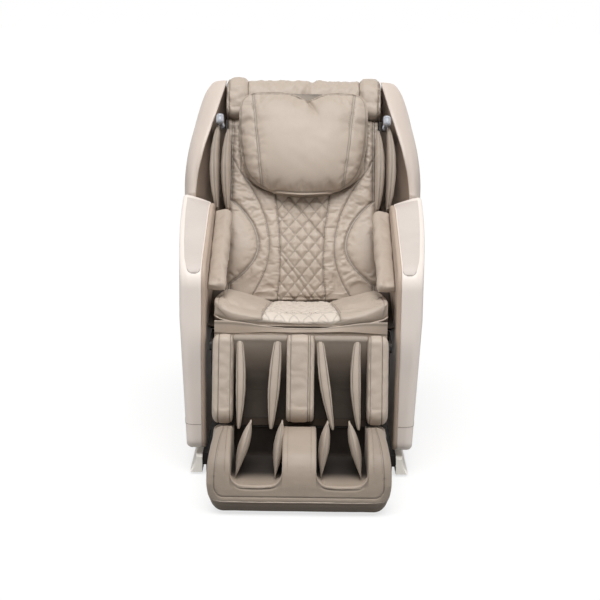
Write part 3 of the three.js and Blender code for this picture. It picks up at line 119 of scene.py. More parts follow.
def linear(*srgb):
    """A colour given in 0 to 255 as linear RGBA."""
    shares = [c / 255 for c in srgb]
    return (*[s / 12.92 if s <= 0.04045 else ((s + 0.055) / 1.055) ** 2.4 for s in shares], 1)


def feed(tree, socket, value):
    """Set a socket to a number or a colour, or join another node's output to it."""
    if isinstance(value, bpy.types.NodeSocket):
        tree.links.new(value, socket)
    else:
        socket.default_value = value


def add_node(tree, kind, *first, **named):
    """A new node. Named values go to its inputs or settings, the others to its first inputs in order."""
    node = tree.nodes.new("ShaderNode" + kind)
    for key, value in named.items():
        if key in node.inputs:
            feed(tree, node.inputs[key], value)
        else:
            setattr(node, key, value)
    for socket, value in zip(node.inputs, first):
        feed(tree, socket, value)
    return node


class Nodes:
    """Short calls for building a material's node tree."""

    def __init__(self, name):
        self.material = bpy.data.materials.new(name)
        self.material.use_nodes = True
        self.tree = self.material.node_tree
        self.shader = self.tree.nodes["Principled BSDF"]
        self.coords = self.add("TexCoord").outputs["Object"]

    def add(self, kind, *first, **named):
        return add_node(self.tree, kind, *first, **named)

    def attribute(self, name):
        return self.add("Attribute", attribute_name=name).outputs["Fac"]

    def noise(self, scale, detail=4, roughness=0.55, distortion=0.0):
        values = {"Scale": scale, "Detail": detail, "Roughness": roughness, "Distortion": distortion}
        return self.add("TexNoise", Vector=self.coords, **values).outputs["Fac"]

    def cells(self, scale):
        return self.add("TexVoronoi", Vector=self.coords, Scale=scale).outputs["Distance"]

    def math(self, operation, *values):
        return self.add("Math", *values, operation=operation).outputs[0]

    def remap(self, source, low, high, to_low=0.0, to_high=1.0):
        return self.add("MapRange", source, low, high, to_low, to_high).outputs["Result"]

    def mix(self, share, a, b, blend="MIX"):
        node = self.add("Mix", share, data_type="RGBA", blend_type=blend)
        feed(self.tree, node.inputs[6], a)
        feed(self.tree, node.inputs[7], b)
        return node.outputs[2]

    def bump(self, height, distance, strength=1.0, below=None):
        lower = {"Normal": below} if below else {}
        node = self.add("Bump", Height=height, Distance=distance, Strength=strength, **lower)
        return node.outputs["Normal"]

    def finish(self, colour, roughness, normal, **values):
        values |= {"Base Color": colour, "Roughness": roughness, "Normal": normal}
        for key, value in values.items():
            feed(self.tree, self.shader.inputs[key.replace("_", " ")], value)
        return self.material


def shade(colour, factor):
    return (*[min(1.0, c * factor) for c in colour[:3]], 1)


DEEP_SHADE = linear(34, 26, 19)  # painted shade that the deep attribute mixes in: deep in the leg channels and foot wells, where it partly stands for the wells' dark cloth, and on the foot's lobes and lower band
PALE = linear(217, 206, 194)  # the lighter leather of the seat's quilted middle


def leather(name, colour, roughness=0.47, grain=0.16, seam_shade=0.75):
    """Leather: pebbled grain with pores, soft mottling, and painted shade where it turns down into a seam."""
    n = Nodes(name)
    mottle = n.remap(n.noise(7, 5, 0.6, 0.4), 0.3, 0.7)
    body = n.mix(mottle, shade(colour, 0.955), shade(colour, 1.03))
    pebble = n.cells(430)
    pore = n.remap(pebble, 0.05, 0.55, 0.93, 1.0)
    pored = n.mix(1.0, body, n.add("CombineColor", pore, pore, pore).outputs[0], "MULTIPLY")
    # painted shade: the seam attribute darkens the colour in seam grooves, quilting lines and folds
    seam = n.attribute("seam")
    pale = n.mix(n.attribute("pale"), pored, PALE)
    sewn = n.mix(n.math("MULTIPLY", seam, seam_shade), pale, shade(colour, 0.22))
    # painted shade: the deep attribute darkens the colour deep in recesses and on faces turned from the light
    deep = n.attribute("deep")
    dark = n.mix(deep, sewn, DEEP_SHADE)
    worn = n.remap(n.noise(34, 4), 0.3, 0.7, roughness - 0.06, roughness + 0.07)
    rough = n.math("ADD", worn, n.math("MULTIPLY", deep, 0.5))
    wrinkles = n.bump(n.noise(90, 5, 0.62, 0.8), 0.0006, 0.35)
    pebbled = n.bump(pebble, 0.00035, grain * 3, wrinkles)
    fine = n.bump(n.noise(1500, 2), 0.0001, grain * 2, pebbled)
    return n.finish(dark, rough, fine, Specular_IOR_Level=0.42, Sheen_Weight=0.06, Sheen_Roughness=0.5)


def moulded(name, colour, roughness=0.32, coat=0.25, texture=0.05):
    """Painted or moulded plastic: very fine orange peel, soft scuffs and paler worn edges."""
    n = Nodes(name)
    cloudy = n.remap(n.noise(5, 4), 0.3, 0.7)
    body = n.mix(cloudy, shade(colour, 0.975), shade(colour, 1.015))
    edge = n.remap(n.add("NewGeometry").outputs["Pointiness"], 0.52, 0.6, 0.0, 0.35)
    worn = n.mix(edge, body, shade(colour, 1.12))
    # painted shade: the seam attribute darkens the colour in moulded grooves
    seam = n.attribute("seam")
    dark = n.mix(n.math("MULTIPLY", seam, 0.75), worn, shade(colour, 0.25))
    scuffs = n.remap(n.noise(60, 6, 0.7, 1.5), 0.35, 0.75, roughness - 0.04, roughness + 0.1)
    peel = n.bump(n.noise(420, 2), 0.0002, texture * 3)
    return n.finish(dark, scuffs, peel, Coat_Weight=coat, Coat_Roughness=0.18)


def fabric(name, colour, pitch=1.1):
    """A dark woven lining: over and under threads at the given pitch in millimetres."""
    n = Nodes(name)
    turns = 2 * math.pi / (pitch * MM)
    split = n.add("SeparateXYZ", n.coords)
    waves = [n.math("SINE", n.math("MULTIPLY", split.outputs[axis], turns)) for axis in (0, 2)]
    weave = n.math("MULTIPLY", waves[0], waves[1])
    fuzz = n.noise(240, 4, 0.7)
    body = n.mix(n.remap(weave, -1, 1, 0.2, 0.8), shade(colour, 0.75), shade(colour, 1.25))
    cloudy = n.mix(n.remap(fuzz, 0.3, 0.7, 0.0, 0.3), body, shade(colour, 1.5))
    normal = n.bump(n.math("ADD", n.math("MULTIPLY", weave, 0.5), fuzz), 0.0004, 0.6)
    return n.finish(cloudy, 0.86, normal, Sheen_Weight=0.2, Sheen_Roughness=0.4)


def metal(name, colour, roughness=0.35, brushed=0.0):
    """Metal with a powder coat's speckle or drawing marks."""
    n = Nodes(name)
    speckle = n.noise(700 if not brushed else 260, 3, 0.6)
    body = n.mix(n.remap(speckle, 0.35, 0.65), shade(colour, 0.86), shade(colour, 1.12))
    rough = n.remap(n.noise(40, 5, 0.65), 0.3, 0.7, roughness - 0.08, roughness + 0.1)
    normal = n.bump(speckle, 0.0003, 0.35)
    return n.finish(body, rough, normal, Metallic=1.0 if brushed else 0.45)


def rubber(name, colour):
    n = Nodes(name)
    dust = n.remap(n.noise(80, 6, 0.7), 0.5, 0.8, 0.0, 0.35)
    body = n.mix(dust, colour, shade(colour, 2.6))
    return n.finish(body, 0.78, n.bump(n.noise(900, 2), 0.0003, 0.5))


TAUPE = linear(187, 173, 159)
LEATHER = leather("leather_taupe", TAUPE)
LEATHER_PALE = leather("leather_pale", linear(209, 199, 192), 0.45)
# the taupe leather painted darker for the low foot unit: painted shade for the lesser light it gets
LEATHER_FOOT_SHADED = leather("leather_foot_shaded", linear(163, 149, 135))
# the taupe leather painted darker for the wings' linings and caps: painted shade of the wing's hollow
LEATHER_WING_SHADED = leather("leather_wing_shaded", linear(168, 150, 135), 0.5)
LEATHER_EDGE = leather("leather_edge", linear(186, 167, 151), 0.5)
SHELL = moulded("shell_pale", linear(240, 230, 222), 0.42, 0.12)
SHELL_WARM = moulded("shell_warm", linear(209, 195, 184), 0.4, 0.12)
SKIRT = moulded("skirt_cream", linear(250, 245, 236), 0.3)
LINING = fabric("lining_dark", linear(62, 50, 40))
BLACK = moulded("plastic_black", linear(24, 22, 21), 0.5, 0.0, 0.2)
STEEL = metal("steel_coated", linear(34, 31, 29), 0.5)
ROD = metal("steel_drawn", linear(172, 174, 176), 0.28, 1.0)
GREY = moulded("plastic_grey", linear(166, 170, 178), 0.3, 0.5)
RUBBER = rubber("rubber_black", linear(18, 17, 17))
THREAD = fabric("thread_brown", linear(118, 100, 86), 0.5)
ROLLER = rubber("roller_brown", linear(58, 48, 42))

# ---------- Mesh helpers ----------


def piece(
    name, part, material, place, seam=None, deep=None, pale=None, bend=None, node=None,
):
    """A smooth mesh of (points, faces) in the place's frame, which rides on that place's body.

    Given a bend, it stays fixed in the row frame instead, on no body. Given a node, it hides that CAD node,
    for which it stands.
    """
    points, faces = part
    mesh = bpy.data.meshes.new(name)
    mesh.from_pydata(place.out(points).tolist(), [], [tuple(int(i) for i in f) for f in faces])
    mesh.materials.append(material)
    mesh.polygons.foreach_set("use_smooth", np.ones(len(mesh.polygons), bool))
    # seam and deep carry painted shade, which the leather and plastic materials mix into their colour
    for key, values in (("seam", seam), ("deep", deep), ("pale", pale)):
        if values is not None:
            attribute = mesh.attributes.new(key, "FLOAT", "POINT")
            attribute.data.foreach_set("value", np.asarray(values, np.float32).ravel())
    mesh.validate()
    mesh.update()
    obj = bpy.data.objects.new(name, mesh)
    bpy.context.scene.collection.objects.link(obj)
    if bend:
        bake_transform(obj)
    else:
        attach(obj, place.body)
    if node:
        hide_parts(node)
    return obj


def mirrored(part):
    points, faces = part
    return np.asarray(points) * (-1, 1, 1), [list(f)[::-1] for f in faces]


def both_sides(name, part, material, place, seam=None, node=None):
    """The part as a piece on the left, and its mirror image on the right."""
    for side, turn in (("left", tuple), ("right", mirrored)):
        stands_for = f"{node}_{side}" if node else None
        piece(f"{name}_{side}", turn(part), material, place, seam, node=stands_for)


def ring_faces(rows, columns):
    r, c = np.meshgrid(np.arange(rows - 1), np.arange(columns), indexing="ij")
    a = r * columns + c
    b = r * columns + (c + 1) % columns
    return np.stack([a, b, b + columns, a + columns], -1).reshape(-1, 4)


def outward(points, faces):
    """The faces, turned over if the closed skin they make is inside out."""
    tri = [(f[0], f[i], f[i + 1]) for f in faces for i in range(1, len(f) - 1)]
    p = np.asarray(points, float)[np.array(tri)]
    volume = np.einsum("ij,ij->i", p[:, 0], np.cross(p[:, 1], p[:, 2])).sum()
    return [f[::-1] for f in faces] if volume < 0 else faces


def loft(rings):
    """Points and faces of a closed skin through rings of equally many points, each end closed by one face."""
    rings = np.asarray(rings, float)
    rows, columns = rings.shape[:2]
    points = rings.reshape(-1, 3)
    faces = [list(f) for f in ring_faces(rows, columns)]
    faces.append(list(range(columns))[::-1])
    faces.append([(rows - 1) * columns + i for i in range(columns)])
    return points, outward(points, faces)


CLOTH = {"pressure": 4.0, "frames": 20, "stretch": 0.04}


def spread_back(values, picks, count):
    """Values given at some rows, filled in for every row between them."""
    at = np.arange(count)
    right = np.clip(np.searchsorted(picks, at), 1, len(picks) - 1)
    share = ((at - picks[right - 1]) / (picks[right] - picks[right - 1]))[:, None, None]
    full = values[right - 1] * (1 - share) + values[right] * share
    for _ in range(2):
        full[1:-1] = full[:-2] * 0.25 + full[1:-1] * 0.5 + full[2:] * 0.25
    return full


def inflated(rings, held, cap, skip=(3, 3)):
    """The rings after a short cloth simulation under pressure; held is 1 where the cloth is sewn or rests.

    The cloth is a coarser copy of the skin. Its movement, at most cap long, is carried back to every point.
    """
    rings = np.asarray(rings, float)
    picks = [np.unique(np.append(np.arange(0, n, k), n - 1)) for n, k in zip(rings.shape[:2], skip)]
    grid = np.ix_(*picks)
    coarse = rings[grid]
    points, faces = loft(coarse)
    mesh = bpy.data.meshes.new("cloth_trial")
    mesh.from_pydata((points * MM).tolist(), [], [tuple(int(i) for i in f) for f in faces])
    obj = bpy.data.objects.new("cloth_trial", mesh)
    scene = bpy.context.scene
    scene.collection.objects.link(obj)
    group = obj.vertex_groups.new(name="held")
    for index, weight in enumerate(np.broadcast_to(held, rings.shape[:2])[grid].ravel()):
        group.add([index], float(min(1.0, weight)), "REPLACE")
    cloth = obj.modifiers.new("cloth", "CLOTH")
    cloth.settings.use_pressure = True
    cloth.settings.uniform_pressure_force = CLOTH["pressure"]
    cloth.settings.shrink_min = -CLOTH["stretch"]
    cloth.settings.vertex_group_mass = group.name
    cloth.settings.effector_weights.gravity = 0
    cloth.collision_settings.use_collision = False
    cloth.point_cache.frame_start, cloth.point_cache.frame_end = 1, CLOTH["frames"]
    for number in range(1, CLOTH["frames"] + 1):
        scene.frame_set(number)
    swollen = obj.evaluated_get(bpy.context.evaluated_depsgraph_get()).data
    moved = np.empty(len(points) * 3)
    swollen.vertices.foreach_get("co", moved)
    shift = moved.reshape(coarse.shape) / MM - coarse
    scene.frame_set(1)
    bpy.data.objects.remove(obj)
    bpy.data.meshes.remove(mesh)
    length = np.maximum(np.linalg.norm(shift, axis=-1, keepdims=True), 1e-6)
    shift = shift * cap * np.tanh(length / cap) / length
    shift = spread_back(shift, picks[0], rings.shape[0])
    shift = spread_back(shift.transpose(1, 0, 2), picks[1], rings.shape[1]).transpose(1, 0, 2)
    return rings + shift


def unit(vectors):
    return vectors / np.maximum(np.linalg.norm(vectors, axis=-1, keepdims=True), 1e-9)


def frames_along(path, closed=False):
    """Tangents along a path, and two directions square to them that don't twist."""
    path = np.asarray(path, float)
    ahead = np.roll(path, -1, 0) - np.roll(path, 1, 0)
    if not closed:
        ahead[0], ahead[-1] = path[1] - path[0], path[-1] - path[-2]
    tangent = unit(ahead)
    side = np.zeros_like(tangent)
    side[0] = unit(np.cross(tangent[0], (0, 0, 1) if abs(tangent[0][2]) < 0.9 else (1, 0, 0)))
    for i in range(1, len(path)):
        side[i] = unit(side[i - 1] - tangent[i] * (side[i - 1] @ tangent[i]))
    return tangent, side, np.cross(tangent, side)


def tube(path, radius, sides=8, closed=False):
    """Points and faces of a round tube along a path. A radius may be one number or one for each point."""
    path = np.asarray(path, float)
    _, side, up = frames_along(path, closed)
    radii = np.broadcast_to(np.asarray(radius, float), (len(path),))[:, None, None]
    angles = np.linspace(0, 2 * np.pi, sides, endpoint=False)
    spokes = side[:, None] * np.cos(angles)[None, :, None] + up[:, None] * np.sin(angles)[None, :, None]
    rings = path[:, None] + spokes * radii
    if not closed:
        return loft(rings)
    faces = ring_faces(len(path), sides).tolist()
    last = (len(path) - 1) * sides
    turn = int(np.argmin(np.linalg.norm(rings[0] - rings[-1][0], axis=1)))
    for i in range(sides):
        after = i + 1
        faces.append([last + i, last + after % sides, (after + turn) % sides, (i + turn) % sides])
    points = rings.reshape(-1, 3)
    return points, outward(points, faces)


def lengths(path):
    """How far along a path each of its points is."""
    return np.concatenate([[0], np.cumsum(np.linalg.norm(np.diff(path, axis=0), axis=1))])


def points_along(path, at):
    along = lengths(path)
    return np.stack([np.interp(at, along, path[:, k]) for k in range(path.shape[1])], -1)


def spread(path, pitch):
    """Points at an even pitch along a path."""
    path = np.asarray(path, float)
    length = lengths(path)[-1]
    count = max(2, int(round(length / pitch)) + 1)
    return points_along(path, np.linspace(0, length, count))


def merged(*parts):
    """Several (points, faces) parts as one."""
    points, faces, count = [], [], 0
    for p, f in parts:
        points.append(np.asarray(p, float))
        faces += [[int(i) + count for i in face] for face in f]
        count += len(p)
    return np.concatenate(points), faces


# A stitch's shape: (place along it, share of its radius).
STITCH_SHAPE = ((-0.5, 0.25), (-0.3, 1.0), (0.3, 1.0), (0.5, 0.25))


def stitches(paths, pitch=6.5, length=4.4, radius=0.62):
    """A row of sewn stitches along each path: short threads that dip into the leather at both ends."""
    angles = np.linspace(0, 2 * np.pi, 5, endpoint=False)
    made = []
    for path in paths:
        centres = spread(path, pitch)
        for c, t, s, u in zip(centres[:-1], *frames_along(centres)):
            rings = [
                [c + t * length * a + radius * w * (s * math.cos(b) + u * math.sin(b)) for b in angles]
                for a, w in STITCH_SHAPE
            ]
            made.append(loft(rings))
    return merged(*made)


def spaced(low, high, count, crowd=0.0):
    """Numbers from low to high, closer together at both ends as crowd goes from 0 to 1."""
    t = np.linspace(0, 1, count)
    return low + (high - low) * ((1 - crowd) * t + crowd * (1 - np.cos(np.pi * t)) / 2)


def smoothstep(x, low, high):
    t = np.clip((x - low) / (high - low), 0, 1)
    return t * t * (3 - 2 * t)


def dome(distance, reach):
    """0 at an edge to 1 at reach inwards, as a quarter circle."""
    t = np.clip(distance / reach, 0, 1)
    return np.sqrt(1 - (1 - t) ** 2)


def bell(distance, width):
    """1 at no distance, falling to nothing over about twice the width."""
    return np.exp(-((distance / width) ** 2))


def creases(x, z, size, seed, octaves=3):
    """Soft irregular waves of about the given size in millimetres, from -1 to 1."""
    chance = np.random.default_rng(seed)
    total = np.zeros(np.broadcast(x, z).shape)
    for k in range(octaves):
        for _ in range(4):
            angle, phase = chance.uniform(0, 2 * np.pi, 2)
            stretch = chance.uniform(0.8, 1.3)
            wave = 2 * np.pi * 2**k / (size * stretch)
            total = total + np.sin((x * np.cos(angle) + z * np.sin(angle)) * wave + phase) / 2**k
    return total / (4 * 1.75)


def polyline_distance(x, z, path):
    """Distance of each (x, z) from a path of points."""
    best = np.full(np.shape(x), 1e9)
    for (ax, az), (bx, bz) in zip(path[:-1], path[1:]):
        dx, dz = bx - ax, bz - az
        t = np.clip(((x - ax) * dx + (z - az) * dz) / (dx * dx + dz * dz), 0, 1)
        best = np.minimum(best, np.hypot(x - ax - t * dx, z - az - t * dz))
    return best


def rounded(corners, steps=8):
    """The outline with arcs for corners: in (y, z, reach) the arc starts at reach from the corner."""
    made = []
    count = len(corners)
    for i, (y, z, *wanted) in enumerate(corners):
        at = np.array([y, z], float)
        if not wanted:
            made.append(at)
            continue
        back = np.array(corners[i - 1][:2]) - at
        ahead = np.array(corners[(i + 1) % count][:2]) - at
        long_back, long_ahead = np.linalg.norm(back), np.linalg.norm(ahead)
        back, ahead = back / long_back, ahead / long_ahead
        reach = min(wanted[0], 0.48 * long_back, 0.48 * long_ahead)
        half = math.acos(np.clip(back @ ahead, -1, 1)) / 2
        middle = (back + ahead) / np.linalg.norm(back + ahead)
        centre = at + middle * reach / math.cos(half)
        start, end = at + back * reach - centre, at + ahead * reach - centre
        for t in np.linspace(0, 1, steps):
            spoke = start * (1 - t) + end * t
            made.append(centre + spoke / np.linalg.norm(spoke) * np.linalg.norm(start))
    return np.array(made)


def inset(outline, distance):
    """The outline moved inwards by distance; it runs anticlockwise."""
    a = unit(outline - np.roll(outline, 1, 0))
    b = unit(np.roll(outline, -1, 0) - outline)
    normal = unit(np.stack([-(a + b)[:, 1], (a + b)[:, 0]], -1))
    sharp = np.maximum(0.5, normal[:, 0] * -a[:, 1] + normal[:, 1] * a[:, 0])
    return outline + normal * (distance / sharp)[:, None]


def even_outline(outline, count):
    """A closed outline as count points at an even pitch."""
    closed = np.vstack([outline, outline[:1]])
    return points_along(closed, np.linspace(0, lengths(closed)[-1], count, endpoint=False))


def shrink(outline, by):
    """The outline drawn in by the same distance all round, for a rounded block's ends."""
    low, high = outline.min(0), outline.max(0)
    middle, half = (low + high) / 2, (high - low) / 2
    return middle + (outline - middle) * (1 - by / half)


def pushed_out(ring, middle, by):
    """The ring with each point moved away from the middle by its own distance."""
    away = ring - middle
    return ring + away / np.maximum(np.linalg.norm(away, axis=1, keepdims=True), 1) * by[:, None]


def at_x(x, outline):
    """A (y, z) outline placed at x, which is one number or one for each point."""
    return np.column_stack([np.broadcast_to(x, len(outline)), outline])


# ---------- CAD pieces that keep their shape ----------

FINISHES = {
    STEEL: ["base_frame", "seat_frame", "back_frame", "calf_frame", "foot_frame"],
    RUBBER: ["floor_skid_left", "floor_skid_right", "transport_wheel_left", "transport_wheel_right"],
    SKIRT: ["base_skirt_left", "base_skirt_right"],
    BLACK: [
        "power_box", "power_switch", "pump_unit", "massage_carriage",
        "tilt_drive_barrel", "back_drive_barrel", "leg_drive_barrel",
    ],
    ROD: ["tilt_drive_rod", "back_drive_rod", "leg_drive_rod", "massage_arm_left", "massage_arm_right"],
    ROLLER: ["upper_roller_left", "upper_roller_right", "lower_roller_left", "lower_roller_right"],
}
for finish, names in FINISHES.items():
    for node_name in names:
        materials = frame["nodes"][node_name].data.materials
        materials.clear()
        materials.append(finish)

# ---------- Backrest ----------

BACK_FRONT = -62  # the back pad's face, before its lumbar bulge
PAD_LOW, PAD_HIGH = BACK.box("back_pad")
PAD_HALF = PAD_HIGH[0]
LUMBAR = {"height": BACK_FRONT - PAD_LOW[1], "middle": 170, "spread": 120}
DIAMOND = {"width": 44, "height": 54}
# The back's seams: half width at the waist, height of the waist, and how fast each opens above and below it.
BACK_SEAMS = {
    "quilt": (70, 150, 0.00037, 0.0006),
    "middle": (106, 200, 0.0015, 0.0021),
    "outer": (140, 205, 0.0036, 0.0057),
}
SEAM_LIMIT = {"quilt": 120, "middle": 205, "outer": 232}
DOUBLE_SEAM = 6
SHOULDER_SEAM = [
    (252, 560), (236, 515), (224, 490), (210, 466), (193, 444),
    (174, 427), (155, 413), (130, 401), (100, 392),
]
FOLDS = [[(-55, 389), (9, 305), (75, 231)], [(-74, 182), (-21, 113), (38, 30)]]


def seam_at(kind, z, aside=0):
    waist, height, above, below = BACK_SEAMS[kind]
    opening = np.where(z > height, above, below) * (z - height) ** 2
    return np.minimum(waist + aside + opening, SEAM_LIMIT[kind] + aside)


def seam_distance(kind, x, z, aside=0):
    slope = (seam_at(kind, z + 1, aside) - seam_at(kind, z - 1, aside)) / 2
    return np.abs(np.abs(x) - seam_at(kind, z, aside)) / np.sqrt(1 + slope**2)


def diamonds(x, z, width, height, seed):
    """Distance from the nearest of two crossing families of quilting lines, slightly uneven."""
    wx = x + 2.2 * creases(x, z, 110, seed, 2)
    wz = z + 2.2 * creases(x, z, 110, seed + 1, 2)
    pitch = 1 / math.hypot(1 / width, 1 / height)
    lines = [wx / width + wz / height, wx / width - wz / height]
    return np.minimum(*[np.abs(v - np.round(v)) for v in lines]) * pitch


def back_face(x, z):
    """Depth of the back pad's face, and how near a seam each point is, from 0 to 1."""
    front = BACK_FRONT - LUMBAR["height"] * bell(z - LUMBAR["middle"], LUMBAR["spread"])
    quilted = np.abs(x) < seam_at("quilt", z)
    sewn = [seam_distance("quilt", x, z), seam_distance("middle", x, z)]
    sewn += [seam_distance("outer", x, z), seam_distance("outer", x, z, DOUBLE_SEAM)]
    sewn.append(polyline_distance(np.abs(x), z, SHOULDER_SEAM))
    main = np.minimum.reduce(sewn)
    quilt = np.where(quilted, diamonds(x, z, DIAMOND["width"], DIAMOND["height"], 5), 1e3)
    fold = np.minimum(*[polyline_distance(x, z, path) for path in FOLDS])
    lift = 6.5 * np.exp(-main / 5) + 5.2 * np.exp(-quilt / 6) + 4 * bell(fold, 4) * quilted
    between = (np.abs(x) > seam_at("quilt", z)) & (np.abs(x) < seam_at("middle", z))
    gathers = np.exp(-sewn[0] / 14) + 0.5 * np.exp(-sewn[1] / 10)
    ruche = creases(x * 0.25, z, 19, 11, 2)
    lift = lift + between * gathers * 3.4 * ruche
    above = smoothstep(z, 300, 380) * (np.abs(x) > seam_at("middle", z))
    lift = lift + 3.4 * above * creases(x * 0.5 + z * 0.5, z * 0.8, 38, 12)
    lift = lift + 1.2 * creases(x, z, 130, 3) + 0.5 * creases(x, z * 1.6, 34, 4)
    side = PAD_HALF - np.abs(x)
    ends = np.minimum(z - PAD_LOW[2], PAD_HIGH[2] - z)
    round_off = 24 * (1 - dome(side, 30)) + 16 * (1 - dome(ends, 22))
    # near also paints shade along the seams, the quilting lines and the folds
    near = np.maximum(bell(main, 1.7), 0.55 * bell(quilt, 1.6))
    near = np.maximum(near, 0.6 * bell(fold, 1.6) * quilted)
    return front + lift + round_off, near


def face_rings(across, rows, face, rear):
    """Rings of a cushion whose face looks to -Y: its face points, then points along its rear."""
    x, z = np.meshgrid(across, rows)
    depth, near = face(x, z)
    front = np.stack([x, depth, z], -1)
    back = [np.stack([np.full(len(rows), bx), np.full(len(rows), by), rows], -1) for bx, by in rear]
    rings = np.concatenate([front, np.stack(back, 1)], 1)
    return rings, np.concatenate([near, np.zeros((len(rows), len(rear)))], 1)


def build_back_pad():
    across = spaced(-PAD_HALF, PAD_HALF, 251, 0.12)
    rows = spaced(PAD_LOW[2], PAD_HIGH[2], 300, 0.08)
    deep = PAD_HIGH[1]
    rear = [(PAD_HALF, deep - 14), (PAD_HALF - 4, deep), (-PAD_HALF + 4, deep), (-PAD_HALF, deep - 14)]
    rings, near = face_rings(across, rows, back_face, rear)
    held = smoothstep(near, 0.15, 0.5)
    held[:, len(across) :] = 1
    rings = inflated(rings, held, 6)
    piece("back_pad_leather", loft(rings), LEATHER, BACK, near, node="back_pad")
    z = np.linspace(PAD_LOW[2] + 26, 372, 150)
    rows_of_thread = []
    for side in (1, -1):
        for kind, aside in (("quilt", 4.5), ("outer", -4.5), ("outer", DOUBLE_SEAM + 4.5), ("middle", 4.5)):
            x = side * seam_at(kind, z, aside)
            keep = np.abs(x) < PAD_HALF - 14
            depth, _ = back_face(x, z)
            rows_of_thread.append(np.stack([x, depth - 0.35, z], -1)[keep])
    piece("back_pad_stitches", stitches(rows_of_thread), THREAD, BACK)


YOKE_LOW, YOKE_HIGH = BACK.box("shoulder_yoke")
YOKE_SEAM = 186


def rolled_block(node, outline, stations, place, seams, seed, crease, welt, shape=None, puff=4):
    """A padded block swept along X: (x, draw) stations pull its outline in. Seams run round it at given x."""
    rings, near = [], []
    for x, draw in stations:
        close = min(abs(x - s) for s in seams)
        ring = shrink(outline, draw + welt * math.exp(-close / 3.5))
        wave = crease * creases(ring[:, 0] + x * 0.8, ring[:, 1], 70, seed)
        ring = pushed_out(ring, ring.mean(0), wave)
        rings.append(at_x(x, ring))
        # painted shade in the seam grooves, through the seam attribute
        near.append(np.full(len(ring), math.exp(-((close / 1.5) ** 2))))
    if shape:
        rings = [shape(ring) for ring in rings]
    held = smoothstep(np.array(near), 0.1, 0.5)
    held[[0, -1]] = 1
    rings = inflated(rings, held, puff, (2, 2))
    piece(f"{node}_leather", loft(rings), LEATHER, place, np.array(near), node=node)


def end_stations(low, high, low_round, high_round, pitch=5.0, draw=None):
    """Stations along X with quarter-round ends."""
    angles = np.linspace(0, np.pi / 2, 9)

    def end(edge, turn):
        return [(edge + turn * (1 - math.cos(a)), (draw or abs(turn)) * (1 - math.sin(a))) for a in angles]

    first, last = end(low, low_round), end(high, -high_round)[::-1]
    count = max(2, int((high - low - low_round - high_round) / pitch))
    middle = [(x, 0.0) for x in np.linspace(first[-1][0], last[0][0], count)[1:-1]]
    return first + middle + last


def add_seam_stations(stations, seams, reach=7):
    """More stations close to each seam, so that its groove is sharp."""
    xs = np.array([x for x, _ in stations])
    draws = np.array([d for _, d in stations])
    order = np.argsort(xs)
    extra = [s + d for s in seams for d in (-reach, -4, -2.5, -1.2, 0, 1.2, 2.5, 4, reach)]
    everything = np.unique(np.round(np.concatenate([xs, extra]), 2))
    everything = everything[(everything >= xs.min()) & (everything <= xs.max())]
    return list(zip(everything, np.interp(everything, xs[order], draws[order])))


YOKE_RISE = {"middle": 7, "rolls": 17, "reach": 12}


def yoke_shape(ring):
    """The yoke's top: higher, fuller rolls at its sides and a gathered middle."""
    x, y, z = ring.T
    up = smoothstep(z, YOKE_LOW[2] + 45, YOKE_HIGH[2] - 4)
    roll = smoothstep(np.abs(x), YOKE_SEAM, YOKE_SEAM + 14)
    gather = (1 - roll) * (3.4 * creases(x, z, 46, 22) + 2.2 * creases(x * 1.6, z * 0.5, 22, 24))
    gather = gather - 7 * bell(x - 18 - 0.35 * (z - 760), 9) * (1 - roll)
    z = z + up * (YOKE_RISE["middle"] + (YOKE_RISE["rolls"] - YOKE_RISE["middle"]) * roll + gather * 0.7)
    front = smoothstep(-y, 10, 60)
    y = y - front * (5 * roll + gather - 4 * roll * creases(x, z, 60, 25))
    return np.column_stack([x, y, z])


def build_yoke():
    (_, front, foot), (reach, rear, top) = YOKE_LOW, YOKE_HIGH
    corners = [(front, foot, 24), (rear, foot, 22), (rear, top - 14, 26), (front + 8, top, 60)]
    outline = even_outline(rounded(corners, 12), 120)
    half = reach + YOKE_RISE["reach"]
    seams = [-half + 9, -YOKE_SEAM, YOKE_SEAM, half - 9]
    stations = add_seam_stations(end_stations(-half, half, 16, 16, 4), seams)
    rolled_block("shoulder_yoke", outline, stations, BACK, seams, 21, 1.6, 5, yoke_shape)


PILLOW_LOW, PILLOW_HIGH = BACK.box("head_pillow")
PILLOW_LOW[2] += 12  # its curved lower edge stands a little above the solid's
PILLOW_SHAPE = {
    "top_front": -118, "notch": 28, "notch_x": 14, "seam_top": 166, "seam_foot": 128, "gusset": 0.24,
}
# Half width of the pillow as a share of the full one, at shares of its height.
PILLOW_EDGE = [
    (0, 0.4), (0.02, 0.5), (0.05, 0.62), (0.09, 0.72), (0.14, 0.805), (0.2, 0.865), (0.28, 0.915),
    (0.38, 0.955), (0.52, 0.985), (0.7, 1), (0.84, 0.995), (0.91, 0.975), (0.955, 0.93), (0.985, 0.85),
    (1, 0.74),
]


def pillow_width(t):
    at, share = zip(*PILLOW_EDGE)
    fine = np.linspace(0, 1, 400)
    smooth = np.convolve(np.pad(np.interp(fine, at, share), 6, "edge"), np.ones(13) / 13, "valid")
    return PILLOW_HIGH[0] * np.interp(t, fine, smooth)


def pillow_rear(z):
    step = smoothstep(z, PAD_HIGH[2] - 40, PAD_HIGH[2] - 8)
    return BACK_FRONT + (YOKE_LOW[1] - BACK_FRONT) * step - 0.3


def pillow_seam(t):
    return PILLOW_SHAPE["seam_foot"] + (PILLOW_SHAPE["seam_top"] - PILLOW_SHAPE["seam_foot"]) * t


